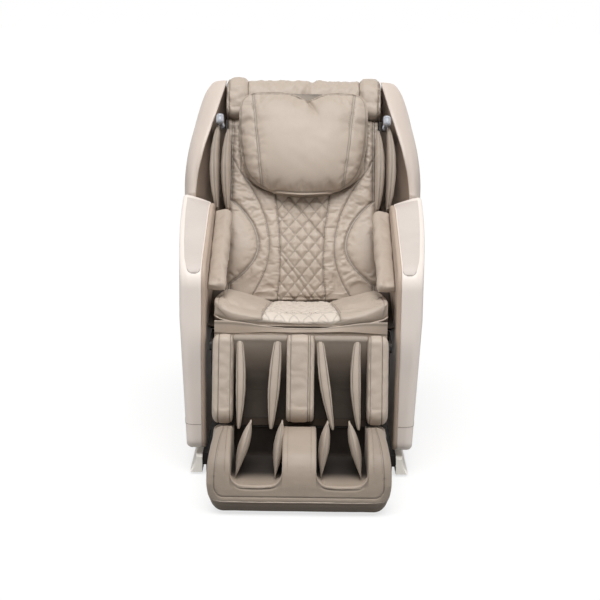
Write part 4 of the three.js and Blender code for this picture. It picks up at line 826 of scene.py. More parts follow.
def pillow_point(u, t):
    """A point of the pillow's face: u across from -1 to 1, t from its foot at 0 to its head at 1."""
    s = PILLOW_SHAPE
    z = PILLOW_LOW[2] + (PILLOW_HIGH[2] - PILLOW_LOW[2]) * t
    x = u * pillow_width(t)
    rear = pillow_rear(z)
    face = PILLOW_LOW[1] + (s["top_front"] - PILLOW_LOW[1]) * t**1.3
    full = np.sin(np.pi * np.clip(t, 0.012, 0.988)) ** 0.38
    crown = np.clip(1 - np.abs(u) ** 2.9, 0, 1) ** 0.66
    thick = (rear - face) * (s["gusset"] + (1 - s["gusset"]) * crown * full)
    beside = np.abs(x) - pillow_seam(t)
    doubled = np.minimum(np.abs(beside), np.abs(beside - 6))
    edge = (1 - np.abs(u)) * pillow_width(t)
    rim = np.minimum(edge, np.minimum(t, 1 - t) * (PILLOW_HIGH[2] - PILLOW_LOW[2]))
    notch = bell(x - s["notch_x"], 42) * t**6
    fold = x - s["notch_x"] - 150 * (1 - t) ** 1.1
    pinch = 13 * bell(fold, 7) * smoothstep(t, 0.7, 0.97)
    pinch = pinch - 5 * bell(fold + 16, 12) * smoothstep(t, 0.7, 0.97)
    wave = 2.2 * creases(x, z, 150, 31) + 1.6 * creases(x, z, 60, 32) * smoothstep(t, 0.55, 1.0)
    wave = wave * np.clip(crown * full, 0, 1)
    y = rear - np.maximum(thick - 2.4 * np.exp(-doubled / 3.5) - pinch - wave, 10)
    # near paints shade in the doubled seams and round the rim; below, a dark line just inside the rim and
    # shade beside the pinch fold
    near = np.maximum(bell(doubled, 1.5), 0.55 * bell(rim, 1.6))
    sag = 9 * np.clip(1 - (x / (PILLOW_EDGE[0][1] * PILLOW_HIGH[0])) ** 2, 0, 1) * (1 - t) ** 5
    near = np.maximum(near, 0.85 * bell(rim - 6, 1.3))
    near = np.maximum(near, 0.3 * bell(fold + 4, 4) * smoothstep(t, 0.78, 0.97))
    return np.stack([x, y, z - s["notch"] * notch - sag], -1), near


def build_pillow():
    across = np.concatenate([[-1, -0.998, -0.992], np.linspace(-0.98, 0.98, 170), [0.992, 0.998, 1]])
    rows = spaced(0, 1, 120, 0.55)
    u, t = np.meshgrid(across, rows)
    front, near = pillow_point(u, t)
    back_u = np.array([0.97, 0.5, 0.07, -0.5, -0.97])
    bu, bt = np.meshgrid(back_u, rows)
    back, _ = pillow_point(bu, bt)
    back[..., 1] = pillow_rear(back[..., 2])
    rings = np.concatenate([front, back], 1)
    held = np.concatenate([smoothstep(near, 0.1, 0.45), np.ones(bu.shape)], 1)
    rings = inflated(rings, held, 6, (2, 3))
    seam = np.concatenate([near, np.zeros(bu.shape)], 1)
    part = loft(rings)
    piece("head_pillow_leather", part, LEATHER, PILLOW, seam, node="head_pillow")
    round_edge = [(-1, v) for v in rows] + [(v, 1) for v in across[1:-1:4]]
    round_edge += [(1, v) for v in rows[::-1]] + [(v, 0) for v in across[-2:0:-4]]
    rim, _ = pillow_point(*np.array(round_edge, float).T)
    piece("head_pillow_piping", tube(spread(rim, 6), 1.8, closed=True), LEATHER, PILLOW)
    t = np.linspace(0.05, 0.9, 90)
    thread = []
    for side in (1, -1):
        for aside in (-4.5, 10.5):
            seam_x = pillow_seam(t) + aside
            within = seam_x < pillow_width(t) - 7
            points, _ = pillow_point(side * seam_x[within] / pillow_width(t[within]), t[within])
            thread.append(points - (0, 0.3, 0))
    piece("head_pillow_stitches", stitches(thread), THREAD, PILLOW)


def through(pairs):
    """A smooth function through (z, value) pairs."""
    knots = np.array(pairs, float)
    ends = [2 * knots[0] - knots[1], *knots, 2 * knots[-1] - knots[-2]]
    samples = []
    for a, b, c, d in zip(ends[:-3], ends[1:-2], ends[2:-1], ends[3:]):
        for t in np.linspace(0, 1, 24, endpoint=False):
            lead = 2 * b + (c - a) * t + (2 * a - 5 * b + 4 * c - d) * t**2 + (3 * b - a - 3 * c + d) * t**3
            samples.append(lead / 2)
    samples.append(knots[-1])
    samples = np.array(samples)
    return lambda z: np.interp(z, samples[:, 0], samples[:, 1])


COVER_LOW, COVER_HIGH = BACK.box("rear_cover")
WING_LOW, WING_HIGH = BACK.box("wing_left")
WING_WALL = 10
WING_RIM_X = through([(60, 352), (360, 350), (500, 328), (640, 292), (WING_HIGH[2], WING_LOW[0] + 8)])
WING_RIM_Y = through([(372, -128), (500, -146), (640, -118), (WING_HIGH[2], -58)])
PANEL_REAR = ((170, 430), (150, 814))  # the side panel's rear edge, as (y, z): the wing's rim stays behind it


def in_back(y, z):
    """A point of the seat's frame in the backrest's."""
    lean = math.radians(BACK_ANGLE)
    dy, dz = y - 130, z - 420
    return dy * math.cos(lean) - dz * math.sin(lean), dy * math.sin(lean) + dz * math.cos(lean)


def cover_rear(z):
    """Depth of the rear cover's back, which draws in above its waist and at its foot."""
    top = COVER_HIGH[1] - 46 * np.maximum(0, (z - 420) / 345) ** 1.6
    return top - 24 * np.maximum(0, (100 - z) / 80) ** 2


def wing_out(z):
    """How far out a wing's wall stands."""
    full, top, start = 392, 291, WING_HIGH[2] - 370
    t = np.clip((z - start) / 370, 0, 1)
    low = full - 7 * np.maximum(0, (start - z) / start)
    return low if z <= start else top + (full - top) * (1 - t**1.6) ** 0.625


def wing_rim_y(z):
    """Where a wing's front rim stands, held behind the side panel as far up as that reaches."""
    (low_y, low_z), (high_y, high_z) = [in_back(*point) for point in PANEL_REAR]
    t = (z - low_z) / (high_z - low_z)
    behind = low_y + (high_y - low_y) * t + 13.5
    held = max(behind, float(WING_RIM_Y(z)))
    return held + (float(WING_RIM_Y(z)) - held) * float(smoothstep(z, high_z - 2, high_z + 16))


def wing_section(z):
    """The outline of a wing's wall: a hook from its front rim round to the rear cover, and back inside."""
    rim, front = float(WING_RIM_X(z)), wing_rim_y(z)
    rear = min(150.0, float(cover_rear(z)))
    deep = rear - front
    side = max(wing_out(z), rim + 8)
    rear_in = min(COVER_HIGH[0] + 0.3, side - 24)
    flange = 80.5
    corner = min(50, 0.55 * (side - rear_in), 0.38 * deep)
    bow = min(120, deep * 0.6)
    bow += (30 - bow) * float(smoothstep(z, 600, WING_HIGH[2] - 20))

    def hook(wall):
        swept = [
            (rim + (side - wall - rim) * math.sin(a), front + wall + (bow - wall) * (1 - math.cos(a)))
            for a in np.linspace(0, np.pi / 2, 22)
        ]
        turned = [
            (side - corner + (corner - wall) * math.cos(a), rear - corner + (corner - wall) * math.sin(a))
            for a in np.linspace(0, np.pi / 2, 10)
        ]
        return swept + turned + [(rear_in + wall, rear - wall), (rear_in + wall, flange)]

    outer, inner = hook(0), hook(WING_WALL)
    bead = [(rim - 2.5, front + 1.5), (rim - 3.5, front + WING_WALL * 0.5)]
    bead += [(rim - 2.5, front + WING_WALL - 1.5)]
    return np.array([(x, y, z) for x, y in outer + inner[::-1] + bead[::-1]])


WING_TIP = 12  # the shell's rounded tip ends this much below the solid's
WING_ROUND = 12  # how far the tip is rounded over


def build_wings():
    top = WING_HIGH[2] - WING_TIP
    stretches = ((WING_LOW[2], 350, 26), (356, 400, 16), (408, top - 14, 60))
    rows = np.concatenate([np.linspace(*stretch) for stretch in stretches])
    rows = np.append(rows, top - WING_ROUND + WING_ROUND * np.sin(np.linspace(0, np.pi / 2, 8)))
    rings = []
    for z in rows:
        ring = wing_section(z)
        over = max(0.0, z - (top - WING_ROUND)) / WING_ROUND
        middle = np.array([262, 20, z])  # inside the hook that the section makes
        rings.append(middle + (ring - middle) * (1 - 0.035 * (1 - math.sqrt(max(0.0, 1 - over**2)))))
    both_sides("wing_shell", loft(rings), SHELL_WARM, BACK, node="wing")


def build_wing_linings():
    """The leather inside each wing, from its front rim round behind the airbags to the frame's side."""
    rings = []
    rows = np.linspace(335, WING_HIGH[2] - WING_TIP - 1.5, 90)
    for z in rows:
        rim, front = float(WING_RIM_X(z)), max(wing_rim_y(z), -150)
        clear = 311 if z < 606 else max(rim - 3, 292 - 0.22 * (z - 606))
        start, end = np.array([rim - 1.0, front + 9]), np.array([261.0, 30.0])
        middle = np.array([max(min(clear, rim - 3), 262.5), max(front + 26, min(-50, front + 70))])
        t = np.linspace(0, 1, 26)[:, None]
        near_end = np.array([max(middle[0] - 2, 261.5), min(-8.0, middle[1] + 44)])
        path = (1 - t) ** 3 * start + 3 * t * (1 - t) ** 2 * middle
        path = path + 3 * t**2 * (1 - t) * near_end + t**3 * end
        puff = 1.6 * creases(path[:, 1], np.full(26, z), 90, 171)
        path[:, 0] -= puff * np.sin(np.pi * t[:, 0])
        back = path[::-1] + (4.5, 2.0)
        ring = np.concatenate([path, back])
        rings.append(np.column_stack([ring, np.full(len(ring), z)]))
    both_sides("wing_lining", loft(rings), LEATHER_WING_SHADED, BACK)


def wing_cap_ring(z, draw):
    """The outline of the hollow between a wing's wall, its lining and the rear cover, drawn in a little."""
    wall = wing_section(z)[34:68, :2][::-1]
    beside = [(269.5, wall[-1][1]), (261.5, COVER_LOW[1] - 2), (261.5, wall[0][1] + 8)]
    ring = np.concatenate([wall, beside])
    ring = ring.mean(0) + (ring - ring.mean(0)) * (1 - draw / 20)
    return np.column_stack([ring, np.full(len(ring), z)])


def build_wing_caps():
    """The tray that closes each wing's hollow just below the wing's top."""
    top = WING_HIGH[2] - WING_TIP - 6
    steps = ((13, 0.4), (3, 0.0), (1, 0.4), (0, 1.4))
    part = loft([wing_cap_ring(top - drop, draw) for drop, draw in steps])
    both_sides("wing_cap", part, LEATHER_WING_SHADED, BACK)


COVER_WALL = 4
COVER_TOP = 14  # how far its upper edge is rounded over
COVER_GROOVES = (560, 140)
# Half the cover's outline from its front corner to its middle: (share of the half width, share of the depth).
COVER_SHAPE = [
    (1, 0), (1, 0.3), (0.995, 0.5), (0.98, 0.66), (0.93, 0.79), (0.84, 0.87), (0.7, 0.92), (0.52, 0.96),
    (0.35, 0.985), (0.18, 0.997), (0, 1),
]


def build_cover():
    half, front, foot, top = COVER_HIGH[0], COVER_LOW[1], COVER_LOW[2], COVER_HIGH[2]
    rows = spaced(foot, top - COVER_TOP, 70, 0.2)
    rows = np.concatenate([rows, top - COVER_TOP + np.linspace(2, COVER_TOP, 7)])
    rings = []
    for z in rows:
        over = max(0, z - (top - COVER_TOP)) / COVER_TOP
        groove = sum(2.2 * math.exp(-(((z - g) / 2.5) ** 2)) for g in COVER_GROOVES)
        depth = float(cover_rear(z)) - COVER_TOP * over**2 - front - groove
        outer = [(-half * k, front + depth * s, z) for k, s in COVER_SHAPE]
        outer += [(half * k, front + depth * s, z) for k, s in COVER_SHAPE[-2::-1]]
        hollow = float(smoothstep(z, foot + 2, foot + 5) * smoothstep(-z, 10 - top, 14 - top))
        scale = np.array([1 - COVER_WALL / half, hollow * max(0.0, 1 - COVER_WALL / depth), 1])
        inner = (np.array(outer) - (0, front, 0)) * scale + (0, front, 0)
        rings.append(np.concatenate([outer, inner[::-1]]))
    part = loft(rings)
    # painted shade in the two grooves, through the seam attribute
    near = [np.abs(part[0][:, 2] - g) < 2 for g in COVER_GROOVES]
    seam = np.any(near, axis=0).astype(float)
    piece("rear_cover_shell", part, BLACK, BACK, seam, node="rear_cover")


# ---------- Leaf airbags ----------


# Half sections of a leaf: (share of the half thickness, share of the depth, how near a seam).
LENS = [
    (0, 0, 1), (0.16, 0.004, 0.7), (0.3, 0.03, 0), (0.55, 0.09, 0), (0.8, 0.2, 0), (1, 0.4, 0),
    (0.97, 0.62, 0), (0.84, 0.82, 0), (0.62, 0.94, 0), (0.4, 1, 0),
]
GUSSET = [
    (0, 0, 0), (0.3, 0.002, 0), (0.5, 0.012, 0.1), (0.58, 0.034, 1), (0.66, 0.034, 1), (0.76, 0.02, 0.1),
    (0.92, 0.06, 0), (1, 0.16, 0), (1, 0.5, 0), (0.9, 0.8, 0), (0.6, 1, 0),
]


def swell(t):
    return 0.25 + 0.75 * math.sin(math.pi * min(0.985, max(0.015, t))) ** 0.6


def build_leaf(name, node, place, seed, low, high, count, at, section):
    """A sewn airbag from low to high: at(t) gives x, front, root and thickness for t from 0 to 1."""
    rings = []
    for t in spaced(0, 1, count, 0.6):
        x, front, root, thick = at(t)
        half, span, z = thick / 2, root - front, low + (high - low) * t
        right = [(x + half * k, front + span * s, z) for k, s, _ in section]
        left = [(x - half * k, front + span * s, z) for k, s, _ in section[:0:-1]]
        rings.append(right + left)
    rings = np.array(rings)
    # painted shade along each leaf's edge seam, through the seam attribute
    near = np.tile([n for _, _, n in section + section[:0:-1]], (count, 1))
    wave = 0.9 * creases(rings[..., 1] * 0.7, rings[..., 2], 46, seed)
    aside = rings[..., 0] - rings.mean(1, keepdims=True)[..., 0]
    rings[..., 0] += np.sign(aside) * wave * np.clip(np.abs(aside) / 10, 0, 1)
    rings[..., 1] += 0.8 * creases(rings[..., 2] * 0, rings[..., 2], 60, seed + 1)
    piece(name, loft(rings), LEATHER, place, near * 0.9, node=node)


SHOULDER_BAG = {"bottom": 322, "top": 600, "front": -158, "thick": 32, "inner": 252, "outer": 289}


def build_shoulder_airbags():
    s = SHOULDER_BAG
    root = BACK_FRONT - 0.3
    for side, sign in (("left", 1), ("right", -1)):
        for kind, lean, shorten in (("inner", 6, 12), ("outer", 9, 0)):

            def at(t):
                x = s[kind] - lean * (0.55 - t) ** 2 * 4
                front = root - 30 + (s["front"] - root + 30) * swell(t)
                return x * sign, front, root - 1, s["thick"] * swell(t)

            build_leaf(
                f"shoulder_airbag_{kind}_{side}", f"shoulder_airbags_{side}", BACK, 50 + len(kind) * sign,
                s["bottom"], s["top"] - shorten, 60, at, LENS,
            )


SPEAKER = {"x": 274, "y": -132, "z": 600}
# The pod's outline: (radius, height above its foot).
SPEAKER_SHAPE = [
    (0.1, 0), (6, 0), (9.5, 1.2), (12, 4), (13, 8), (13, 21), (12.2, 22), (13, 23), (12.6, 28), (10, 32),
    (5, 34), (0.1, 34.3),
]


def build_speakers():
    x, y, z = SPEAKER["x"], SPEAKER["y"], SPEAKER["z"]
    angles = np.linspace(0, 2 * np.pi, 28, endpoint=False)
    circle = [(math.cos(a), math.sin(a)) for a in angles]
    pod = loft([[(x + r * c, y + r * s, z + h) for c, s in circle] for r, h in SPEAKER_SHAPE])
    neck = tube([(x, y + 8, z + 16), (x - 3, -66, z + 14)], 5.5, 12)
    foot = tube([(x - 3, -78, z + 14), (x - 3, BACK_FRONT + 1, z + 14)], [9, 10.5], 16)
    both_sides("speaker_pod", merged(pod, neck, foot), GREY, BACK, node="speaker")


# ---------- Seat ----------

SEAT_LOW, SEAT_HIGH = SEAT.box("seat_pad")
SEAT_HALF = SEAT_HIGH[0]
SEAT_LINE = {"front": 505, "rear": 471, "side": 46, "crown": 9, "edge": 30, "deck": 440.3}
SEAT_SEAMS = {"front": 116, "rear": 92}
SEAT_DIAMOND = {"width": 44, "height": 62}


def seat_share(y):
    """How far back y is along the pad, from 0 to 1."""
    return (y - SEAT_LOW[1]) / (SEAT_HIGH[1] - SEAT_LOW[1])


def seat_seam(y):
    front, rear = SEAT_SEAMS["front"], SEAT_SEAMS["rear"]
    return front + (rear - front) * np.clip(seat_share(y), 0, 1) ** 0.7


def seat_top(x, y):
    """Height of the seat's face, and how near a seam each point is."""
    s = SEAT_LINE
    t = seat_share(y)
    line = s["front"] + (s["rear"] - s["front"]) * t
    side = s["side"] * np.abs(x / SEAT_HALF) ** 2.4
    crown = s["crown"] * np.sin(np.pi * np.minimum(1, np.maximum(t, 0) * 1.1)) ** 0.7
    seam = np.abs(np.abs(x) - seat_seam(y))
    welt = np.abs(SEAT_HALF - 11 - np.abs(x))
    nose = np.abs(y - (SEAT_LOW[1] + 34))
    inside = np.abs(x) < seat_seam(y)
    quilt = np.where(inside, diamonds(x, y, SEAT_DIAMOND["width"], SEAT_DIAMOND["height"], 8), 1e3)
    quilt = np.where(nose < 5, 1e3, quilt)
    lift = -6.5 * np.exp(-seam / 5) - 4.6 * np.exp(-quilt / 6) - 2.2 * bell(welt, 3)
    lift = lift - 2.6 * bell(nose, 3.5) * inside
    lift = lift + 1.6 * creases(x, y, 150, 51) + 0.5 * creases(x, y, 44, 52)
    gather = np.exp(-seam / 12) * (1 - inside)
    lift = lift + 1.2 * gather * creases(x * 0.3, y, 22, 53, 2)
    ends = np.minimum(y - SEAT_LOW[1], SEAT_HIGH[1] - y)
    drop = 17 * (1 - dome(ends, 19)) + 16 * (1 - dome(SEAT_HALF - np.abs(x), 26))
    # near paints shade in the seams, quilting lines, welts and nose groove, through the seam attribute
    near = np.maximum(bell(seam, 1.7), 0.5 * bell(quilt, 1.6))
    near = np.maximum(near, 0.7 * bell(welt, 1.5))
    near = np.maximum(near, 0.7 * bell(nose, 1.6) * inside)
    return line + side + crown + lift - drop, near


def seat_narrow(y):
    """The pad's width towards its rear, where it runs in between the arms, as a share of its front width."""
    return 1 - 0.08 * smoothstep(y, -270, 50)


def seat_under(x, y):
    s = SEAT_LINE
    t = seat_share(y)
    front = (s["front"] - s["edge"] - s["deck"] + 0.3) * np.maximum(0, 1 - t / 0.11)
    rear = 10 * (1 - np.minimum(1, (1 - t) / 0.08))
    side = (30 + 30 * smoothstep(-y, 170, 290)) * np.maximum(0, np.abs(x) / SEAT_HALF - 0.45) ** 1.6
    return s["deck"] + front + rear + side + 9 * (1 - dome(SEAT_HALF - np.abs(x), 26))


def build_seat():
    across = spaced(-SEAT_HALF, SEAT_HALF, 241, 0.15)
    rows = spaced(SEAT_LOW[1], SEAT_HIGH[1], 190, 0.35)
    x, y = np.meshgrid(across, rows)
    top, near = seat_top(x, y)
    under_x = across[::-8]
    ux, uy = np.meshgrid(under_x, rows)
    under = seat_under(ux, uy)
    rings = np.concatenate([np.stack([x, y, top], -1), np.stack([ux, uy, under], -1)], 1)
    seam = np.concatenate([near, np.zeros(ux.shape)], 1)
    held = np.concatenate([smoothstep(near, 0.1, 0.5), np.ones(ux.shape)], 1)
    rings = inflated(rings, held, 9)
    points, faces = loft(rings)
    pale = smoothstep(-np.abs(points[:, 0]), -seat_seam(points[:, 1]) - 2, -seat_seam(points[:, 1]) + 2)
    points[:, 0] *= seat_narrow(points[:, 1])
    part = (points, faces)
    piece("seat_pad_leather", part, LEATHER, SEAT, seam, pale=pale, node="seat_pad")
    build_seat_trim()


def build_seat_trim():
    """The stitches beside the seat's seams, and the piping along its front and sides."""
    front, rear = SEAT_LOW[1], SEAT_HIGH[1]
    y = np.linspace(front + 22, rear - 24, 120)
    thread = []
    for side in (1, -1):
        for aside in (-5, 5):
            x = side * (seat_seam(y) + aside)
            thread.append(np.stack([x * seat_narrow(y), y, seat_top(x, y)[0] + 0.35], -1))
    x = np.linspace(-100, 100, 80)
    y = np.full_like(x, front + 40)
    thread.append(np.stack([x, y, seat_top(x, y)[0] + 0.35], -1))
    piece("seat_pad_stitches", stitches(thread), THREAD, SEAT)
    x = np.linspace(-SEAT_HALF + 3, SEAT_HALF - 3, 90)
    lip = np.column_stack([x, np.full(90, front + 1.5), seat_under(x, front + 2) - 1])
    y = np.linspace(rear - 8, front + 10, 50)
    low, high = lip[-1, 2], seat_top(np.full(50, SEAT_HALF - 3), y)[0] - 9
    height = high + (low - high) * smoothstep(-y, 150, -front)
    aside = np.column_stack([(SEAT_HALF - 0.5) * seat_narrow(y), y, height])
    lip = np.concatenate([aside * (-1, 1, 1), lip, aside[::-1]])
    piece("seat_pad_piping", tube(spread(lip, 6), 2.6), LEATHER, SEAT)


GAP_CLOTH = {"front": -250, "rear": 34, "low": 462, "high": 514, "outer": 281.2, "thick": 2.5}


def build_gap_cloths():
    """The dark cloth that closes the gap between the seat pad and each side lining."""
    g = GAP_CLOTH
    rings = []
    for y in np.linspace(g["front"], g["rear"], 40):
        x = np.linspace(SEAT_HALF * seat_narrow(y) - 3, g["outer"], 8)
        z = g["low"] + (g["high"] - g["low"]) * smoothstep(y, -210, 10) - 4 * np.sin(np.linspace(0, np.pi, 8))
        face = np.column_stack([x, np.full(8, y), z])
        rings.append(np.concatenate([face, face[::-1] - (0, 0, g["thick"])]))
    both_sides("seat_gap_cloth", loft(rings), LINING, SEAT)


TAIL = {"half": 238, "seat": (60, 455), "back": (102, 464), "sag": 9, "thick": 2.5}


def build_tail():
    """The dark cloth between the seat pad's rear and the back pad's foot, left fixed in the row frame on no
    body.
    """
    t = TAIL
    start, end = np.array(t["seat"]), np.array(t["back"])
    rings = []
    for x in np.linspace(-t["half"], t["half"], 60):
        share = np.linspace(0, 1, 14)[:, None]
        line = start + (end - start) * share - (0, 1) * np.sin(np.pi * share) * t["sag"]
        face = np.column_stack([np.full(14, x), line])
        rings.append(np.concatenate([face, face[::-1] - (0, 0, t["thick"])]))
    ends = [tuple(SEAT.out(np.array([(0, *end)]))[0]) for end in (t["seat"], t["back"])]
    bend = {"bodies": ("seat_unit", "backrest"), "start": ends[0], "end": ends[1]}
    piece("seat_tail_cloth", loft(rings), LINING, SEAT, bend=bend)


FLAP_LOW, FLAP_HIGH = SEAT.box("seat_flap")
FLAP_RISE = 20  # how far the flap's sewn edge rises towards its sides, behind the seat's lower edge


def build_flap():
    """Two leather layers that hang under the seat's front edge, in soft waves."""
    across = np.linspace(FLAP_LOW[0], FLAP_HIGH[0], 220)
    for name, low, high, front, rise, seed in (
        ("seat_flap_upper", FLAP_HIGH[2] - 14, FLAP_HIGH[2], FLAP_LOW[1], FLAP_RISE, 61),
        ("seat_flap_lower", FLAP_LOW[2] + 4, 460, FLAP_LOW[1] + 1.9, 0, 62),
    ):
        rows = np.linspace(low, high, 14)
        x, z = np.meshgrid(across, rows)
        rise = rise * smoothstep(np.abs(x), 40, 230) * (z - low) / (high - low)
        hang = (high - z) / (high - low)
        swing = np.sin((x + 60 * (seed - 60)) / 74) + 0.5 * np.sin((x - 90) / 41)
        wave = 2.2 * hang * creases(x, z * 0.3, 130, seed) - 2.5 * hang - 2.4 * hang * swing
        drop = 3.0 * hang * creases(x, 0 * z, 260, seed + 5, 2) + 3.8 * hang * swing
        face = np.stack([x, front + 2.4 + wave, z + drop + rise], -1)
        rings = np.concatenate([face, face[:, ::-1] + (0, 1.9, 0)], 1)
        # painted shade along the hem, through the seam attribute
        hem = np.abs(hang - 0.2) * (high - low)
        near = np.concatenate([bell(hem, 1.2), 0 * hem], 1)
        made = piece(name, loft(rings), LEATHER, SEAT, near * 0.7)
        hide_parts("seat_flap")


# ---------- Side panels and arms ----------

ARM = {"front_y": -330, "front_z": 650, "rear_y": 150, "rear_z": 814, "bottom": 83}
ARM_WIDE = {"rear": 385, "front": 361, "floor": 340, "shoulder": 480}
ARM_INNER = 288
ARM_BEVEL = 15
PANEL_CENTRE = np.array([-80.0, 420.0])
PANEL_ROUND = 26  # how far the panel's front edge is rounded over, across its width
LINING_STRIP = 7  # how far the lining's edge wraps round the panel's inner edge
PANEL_LINE = 165  # height of the seam between the panel's two mouldings


def panel_outline():
    corners = [
        (-300, ARM["bottom"], 30),
        (100, ARM["bottom"], 40),
        (300, ARM["bottom"] + 30, 30),
        (235, 270, 30),
        (170, 430, 60),
        (ARM["rear_y"], ARM["rear_z"], 34),
        (ARM["front_y"], ARM["front_z"], 60),
        (ARM["front_y"] - 6, 420, 60),
    ]
    return even_outline(rounded(corners, 12), 300)


def arm_out(y, z):
    span = ARM["rear_y"] + 300
    back = np.clip((ARM["rear_y"] - y) / span, 0, 1.08)
    width = ARM_WIDE["rear"] - (ARM_WIDE["rear"] - ARM_WIDE["front"]) * back**2
    low = np.maximum(0, ARM_WIDE["shoulder"] - z) / (ARM_WIDE["shoulder"] - ARM["bottom"])
    return width - (ARM_WIDE["front"] - ARM_WIDE["floor"]) * low


def arm_top(y):
    share = (y - ARM["front_y"]) / (ARM["rear_y"] - ARM["front_y"])
    return ARM["front_z"] + (ARM["rear_z"] - ARM["front_z"]) * share


ARM_DIP = {"depth": 30, "start": 30, "end": 150, "outer": 376}


def arm_dip(x, y, z):
    """How far the arm's top falls away at its inner rear corner."""
    across = np.clip((ARM_DIP["outer"] - x) / (ARM_DIP["outer"] - ARM_INNER), 0, 1) ** 1.3
    up = smoothstep(z, arm_top(y) - 90, arm_top(y) - 12)
    return ARM_DIP["depth"] * smoothstep(y, ARM_DIP["start"], ARM_DIP["end"]) * across * up


def level_line(rings, z):
    """The line in which a skin of nested rings meets the height z, from its front round to its rear."""
    front, rear = [], []
    for ring in rings:
        after = np.roll(ring, -1, 0)
        for i in np.nonzero((ring[:, 2] > z) != (after[:, 2] > z))[0]:
            share = (z - ring[i, 2]) / (after[i, 2] - ring[i, 2])
            point = ring[i] + (after[i] - ring[i]) * share
            (front if point[1] < PANEL_CENTRE[0] else rear).append(point)
    return np.array(front + rear[::-1])


def build_side_panels():
    outline = panel_outline()
    lip = ((0.0, 6), (LINING_STRIP, 5), (LINING_STRIP + 0.3, 1.2))
    rings = [at_x(ARM_INNER + x, inset(outline, draw)) for x, draw in lip]
    rings.append(at_x(ARM_INNER + LINING_STRIP + 2.0, outline))
    wall = arm_out(outline[:, 0], outline[:, 1])
    ahead = outline - inset(outline, 1.0)
    ahead = np.clip(-ahead[:, 0] / np.linalg.norm(ahead, axis=1), 0, 1) ** 1.5
    reach = ARM_BEVEL + (PANEL_ROUND - ARM_BEVEL) * ahead  # how far the outer edge is rounded over
    for share in (0.35, 0.6, 0.8):
        rings.append(at_x(ARM_INNER + (wall - reach - ARM_INNER) * share, outline))
    for a in np.linspace(0, np.pi / 2, 15):
        edge = inset(outline, reach * 0.8 * (1 - math.cos(a)))
        rings.append(at_x(arm_out(edge[:, 0], edge[:, 1]) - reach * (1 - math.sin(a)), edge))
    last = rings[-1][:, 1:]
    for share in np.linspace(0.94, 0.04, 26):
        ring = PANEL_CENTRE + (last - PANEL_CENTRE) * share
        rings.append(at_x(arm_out(ring[:, 0], ring[:, 1]), ring))
    rings = np.array(rings)
    parting = tube(spread(level_line(rings[3:], PANEL_LINE), 8), 0.7, 6)
    rings[..., 2] -= arm_dip(rings[..., 0], rings[..., 1], rings[..., 2])
    both_sides("side_panel_shell", loft(rings), SHELL, SEAT, node="side_panel")
    both_sides("side_panel_parting", parting, THREAD, SEAT)


def build_linings():
    outline = panel_outline()
    low, high = SEAT.box("side_lining_left")
    over = ARM_INNER + LINING_STRIP
    wrap = [(over - 0.4, 5.5), (over - 0.4, 1.2), (over - 2.5, 0.2), (high[0] + 1, 0.2)]
    wrap += [(low[0] + 3.4, 1.6), (low[0] + 1.2, 4), (low[0] + 0.6, 8)]
    rings = [at_x(x, inset(outline, d)) for x, d in wrap]
    last = rings[-1][:, 1:]
    for share in np.linspace(0.98, 0.03, 24):
        ring = PANEL_CENTRE + (last - PANEL_CENTRE) * share
        wave = 0.5 * creases(ring[:, 0], ring[:, 1], 90, 71)
        rings.append(at_x(low[0] + 0.3 + wave, ring))
    rings = np.array(rings)
    rings[..., 2] -= arm_dip(np.full(rings.shape[:2], ARM_INNER + 0.0), rings[..., 1], rings[..., 2])
    both_sides("side_lining_pad", loft(rings), LEATHER_EDGE, SEAT, node="side_lining")


PAD_FOOT = 625  # height at which the arm's leather ends on the panel's nose
PAD_ROUND = 20


def build_arm_pads():
    """The leather on each arm's top, flush with the shell, run on over the nose to a short seam."""
    _, high = SEAT.box("arm_top_pad_left")
    crest = panel_outline()
    crest = crest[(crest[:, 1] > PAD_FOOT) & (crest[:, 0] < high[1])]
    crest = spread(crest[np.argsort(crest[:, 0] + 0.5 * crest[:, 1])], 4.0)
    ahead = np.gradient(crest, axis=0)
    ahead /= np.linalg.norm(ahead, axis=1, keepdims=True)
    up = np.column_stack([-ahead[:, 1], ahead[:, 0]])
    along = lengths(crest)
    across = spaced(-1, 1, 41, 0.5)
    rings, near = [], []
    for (y, z), rise, s in zip(crest, up, along):
        nose = max(0.0, -rise[0]) ** 1.5
        x0 = ARM_INNER + LINING_STRIP + 3
        x1 = float(arm_out(y, z)) - ARM_BEVEL - (PANEL_ROUND - ARM_BEVEL) * nose + 2
        middle, half = (x0 + x1) / 2, (x1 - x0) / 2
        x = middle + half * max(0.04, 1 - max(0.0, 1 - s / PAD_ROUND) ** 2.6) ** (1 / 2.6) * across
        rim = np.minimum((1 - np.abs(across)) * half, min(s, along[-1] - s) + 0.3)
        height = 0.3 + 2.0 * dome(rim, 18) + 0.25 * creases(x, np.full_like(x, y), 60, 81)
        face = np.stack([x, y + rise[0] * height, z + rise[1] * height], -1)
        under = [(x[k], y - 2 * rise[0], z - 2 * rise[1]) for k in (-1, 0)]
        ring = np.concatenate([face, under])
        ring[:, 2] -= arm_dip(ring[:, 0], ring[:, 1], ring[:, 2])
        rings.append(ring)
        # painted shade in the short seam on the nose, through the seam attribute
        near.append(np.concatenate([0.8 * bell(rim - 1.2, 1.1) * (s < 14), [0, 0]]))
    seam, part = np.array(near), loft(rings)
    both_sides("arm_top_leather", part, LEATHER_PALE, SEAT, seam, "arm_top_pad")


CUSHION = {
    "inner": 226, "outer": 281, "thick": 56, "thin": 30,
    "front": -250, "rear": 130, "drop_front": 84, "drop_rear": 44,
}


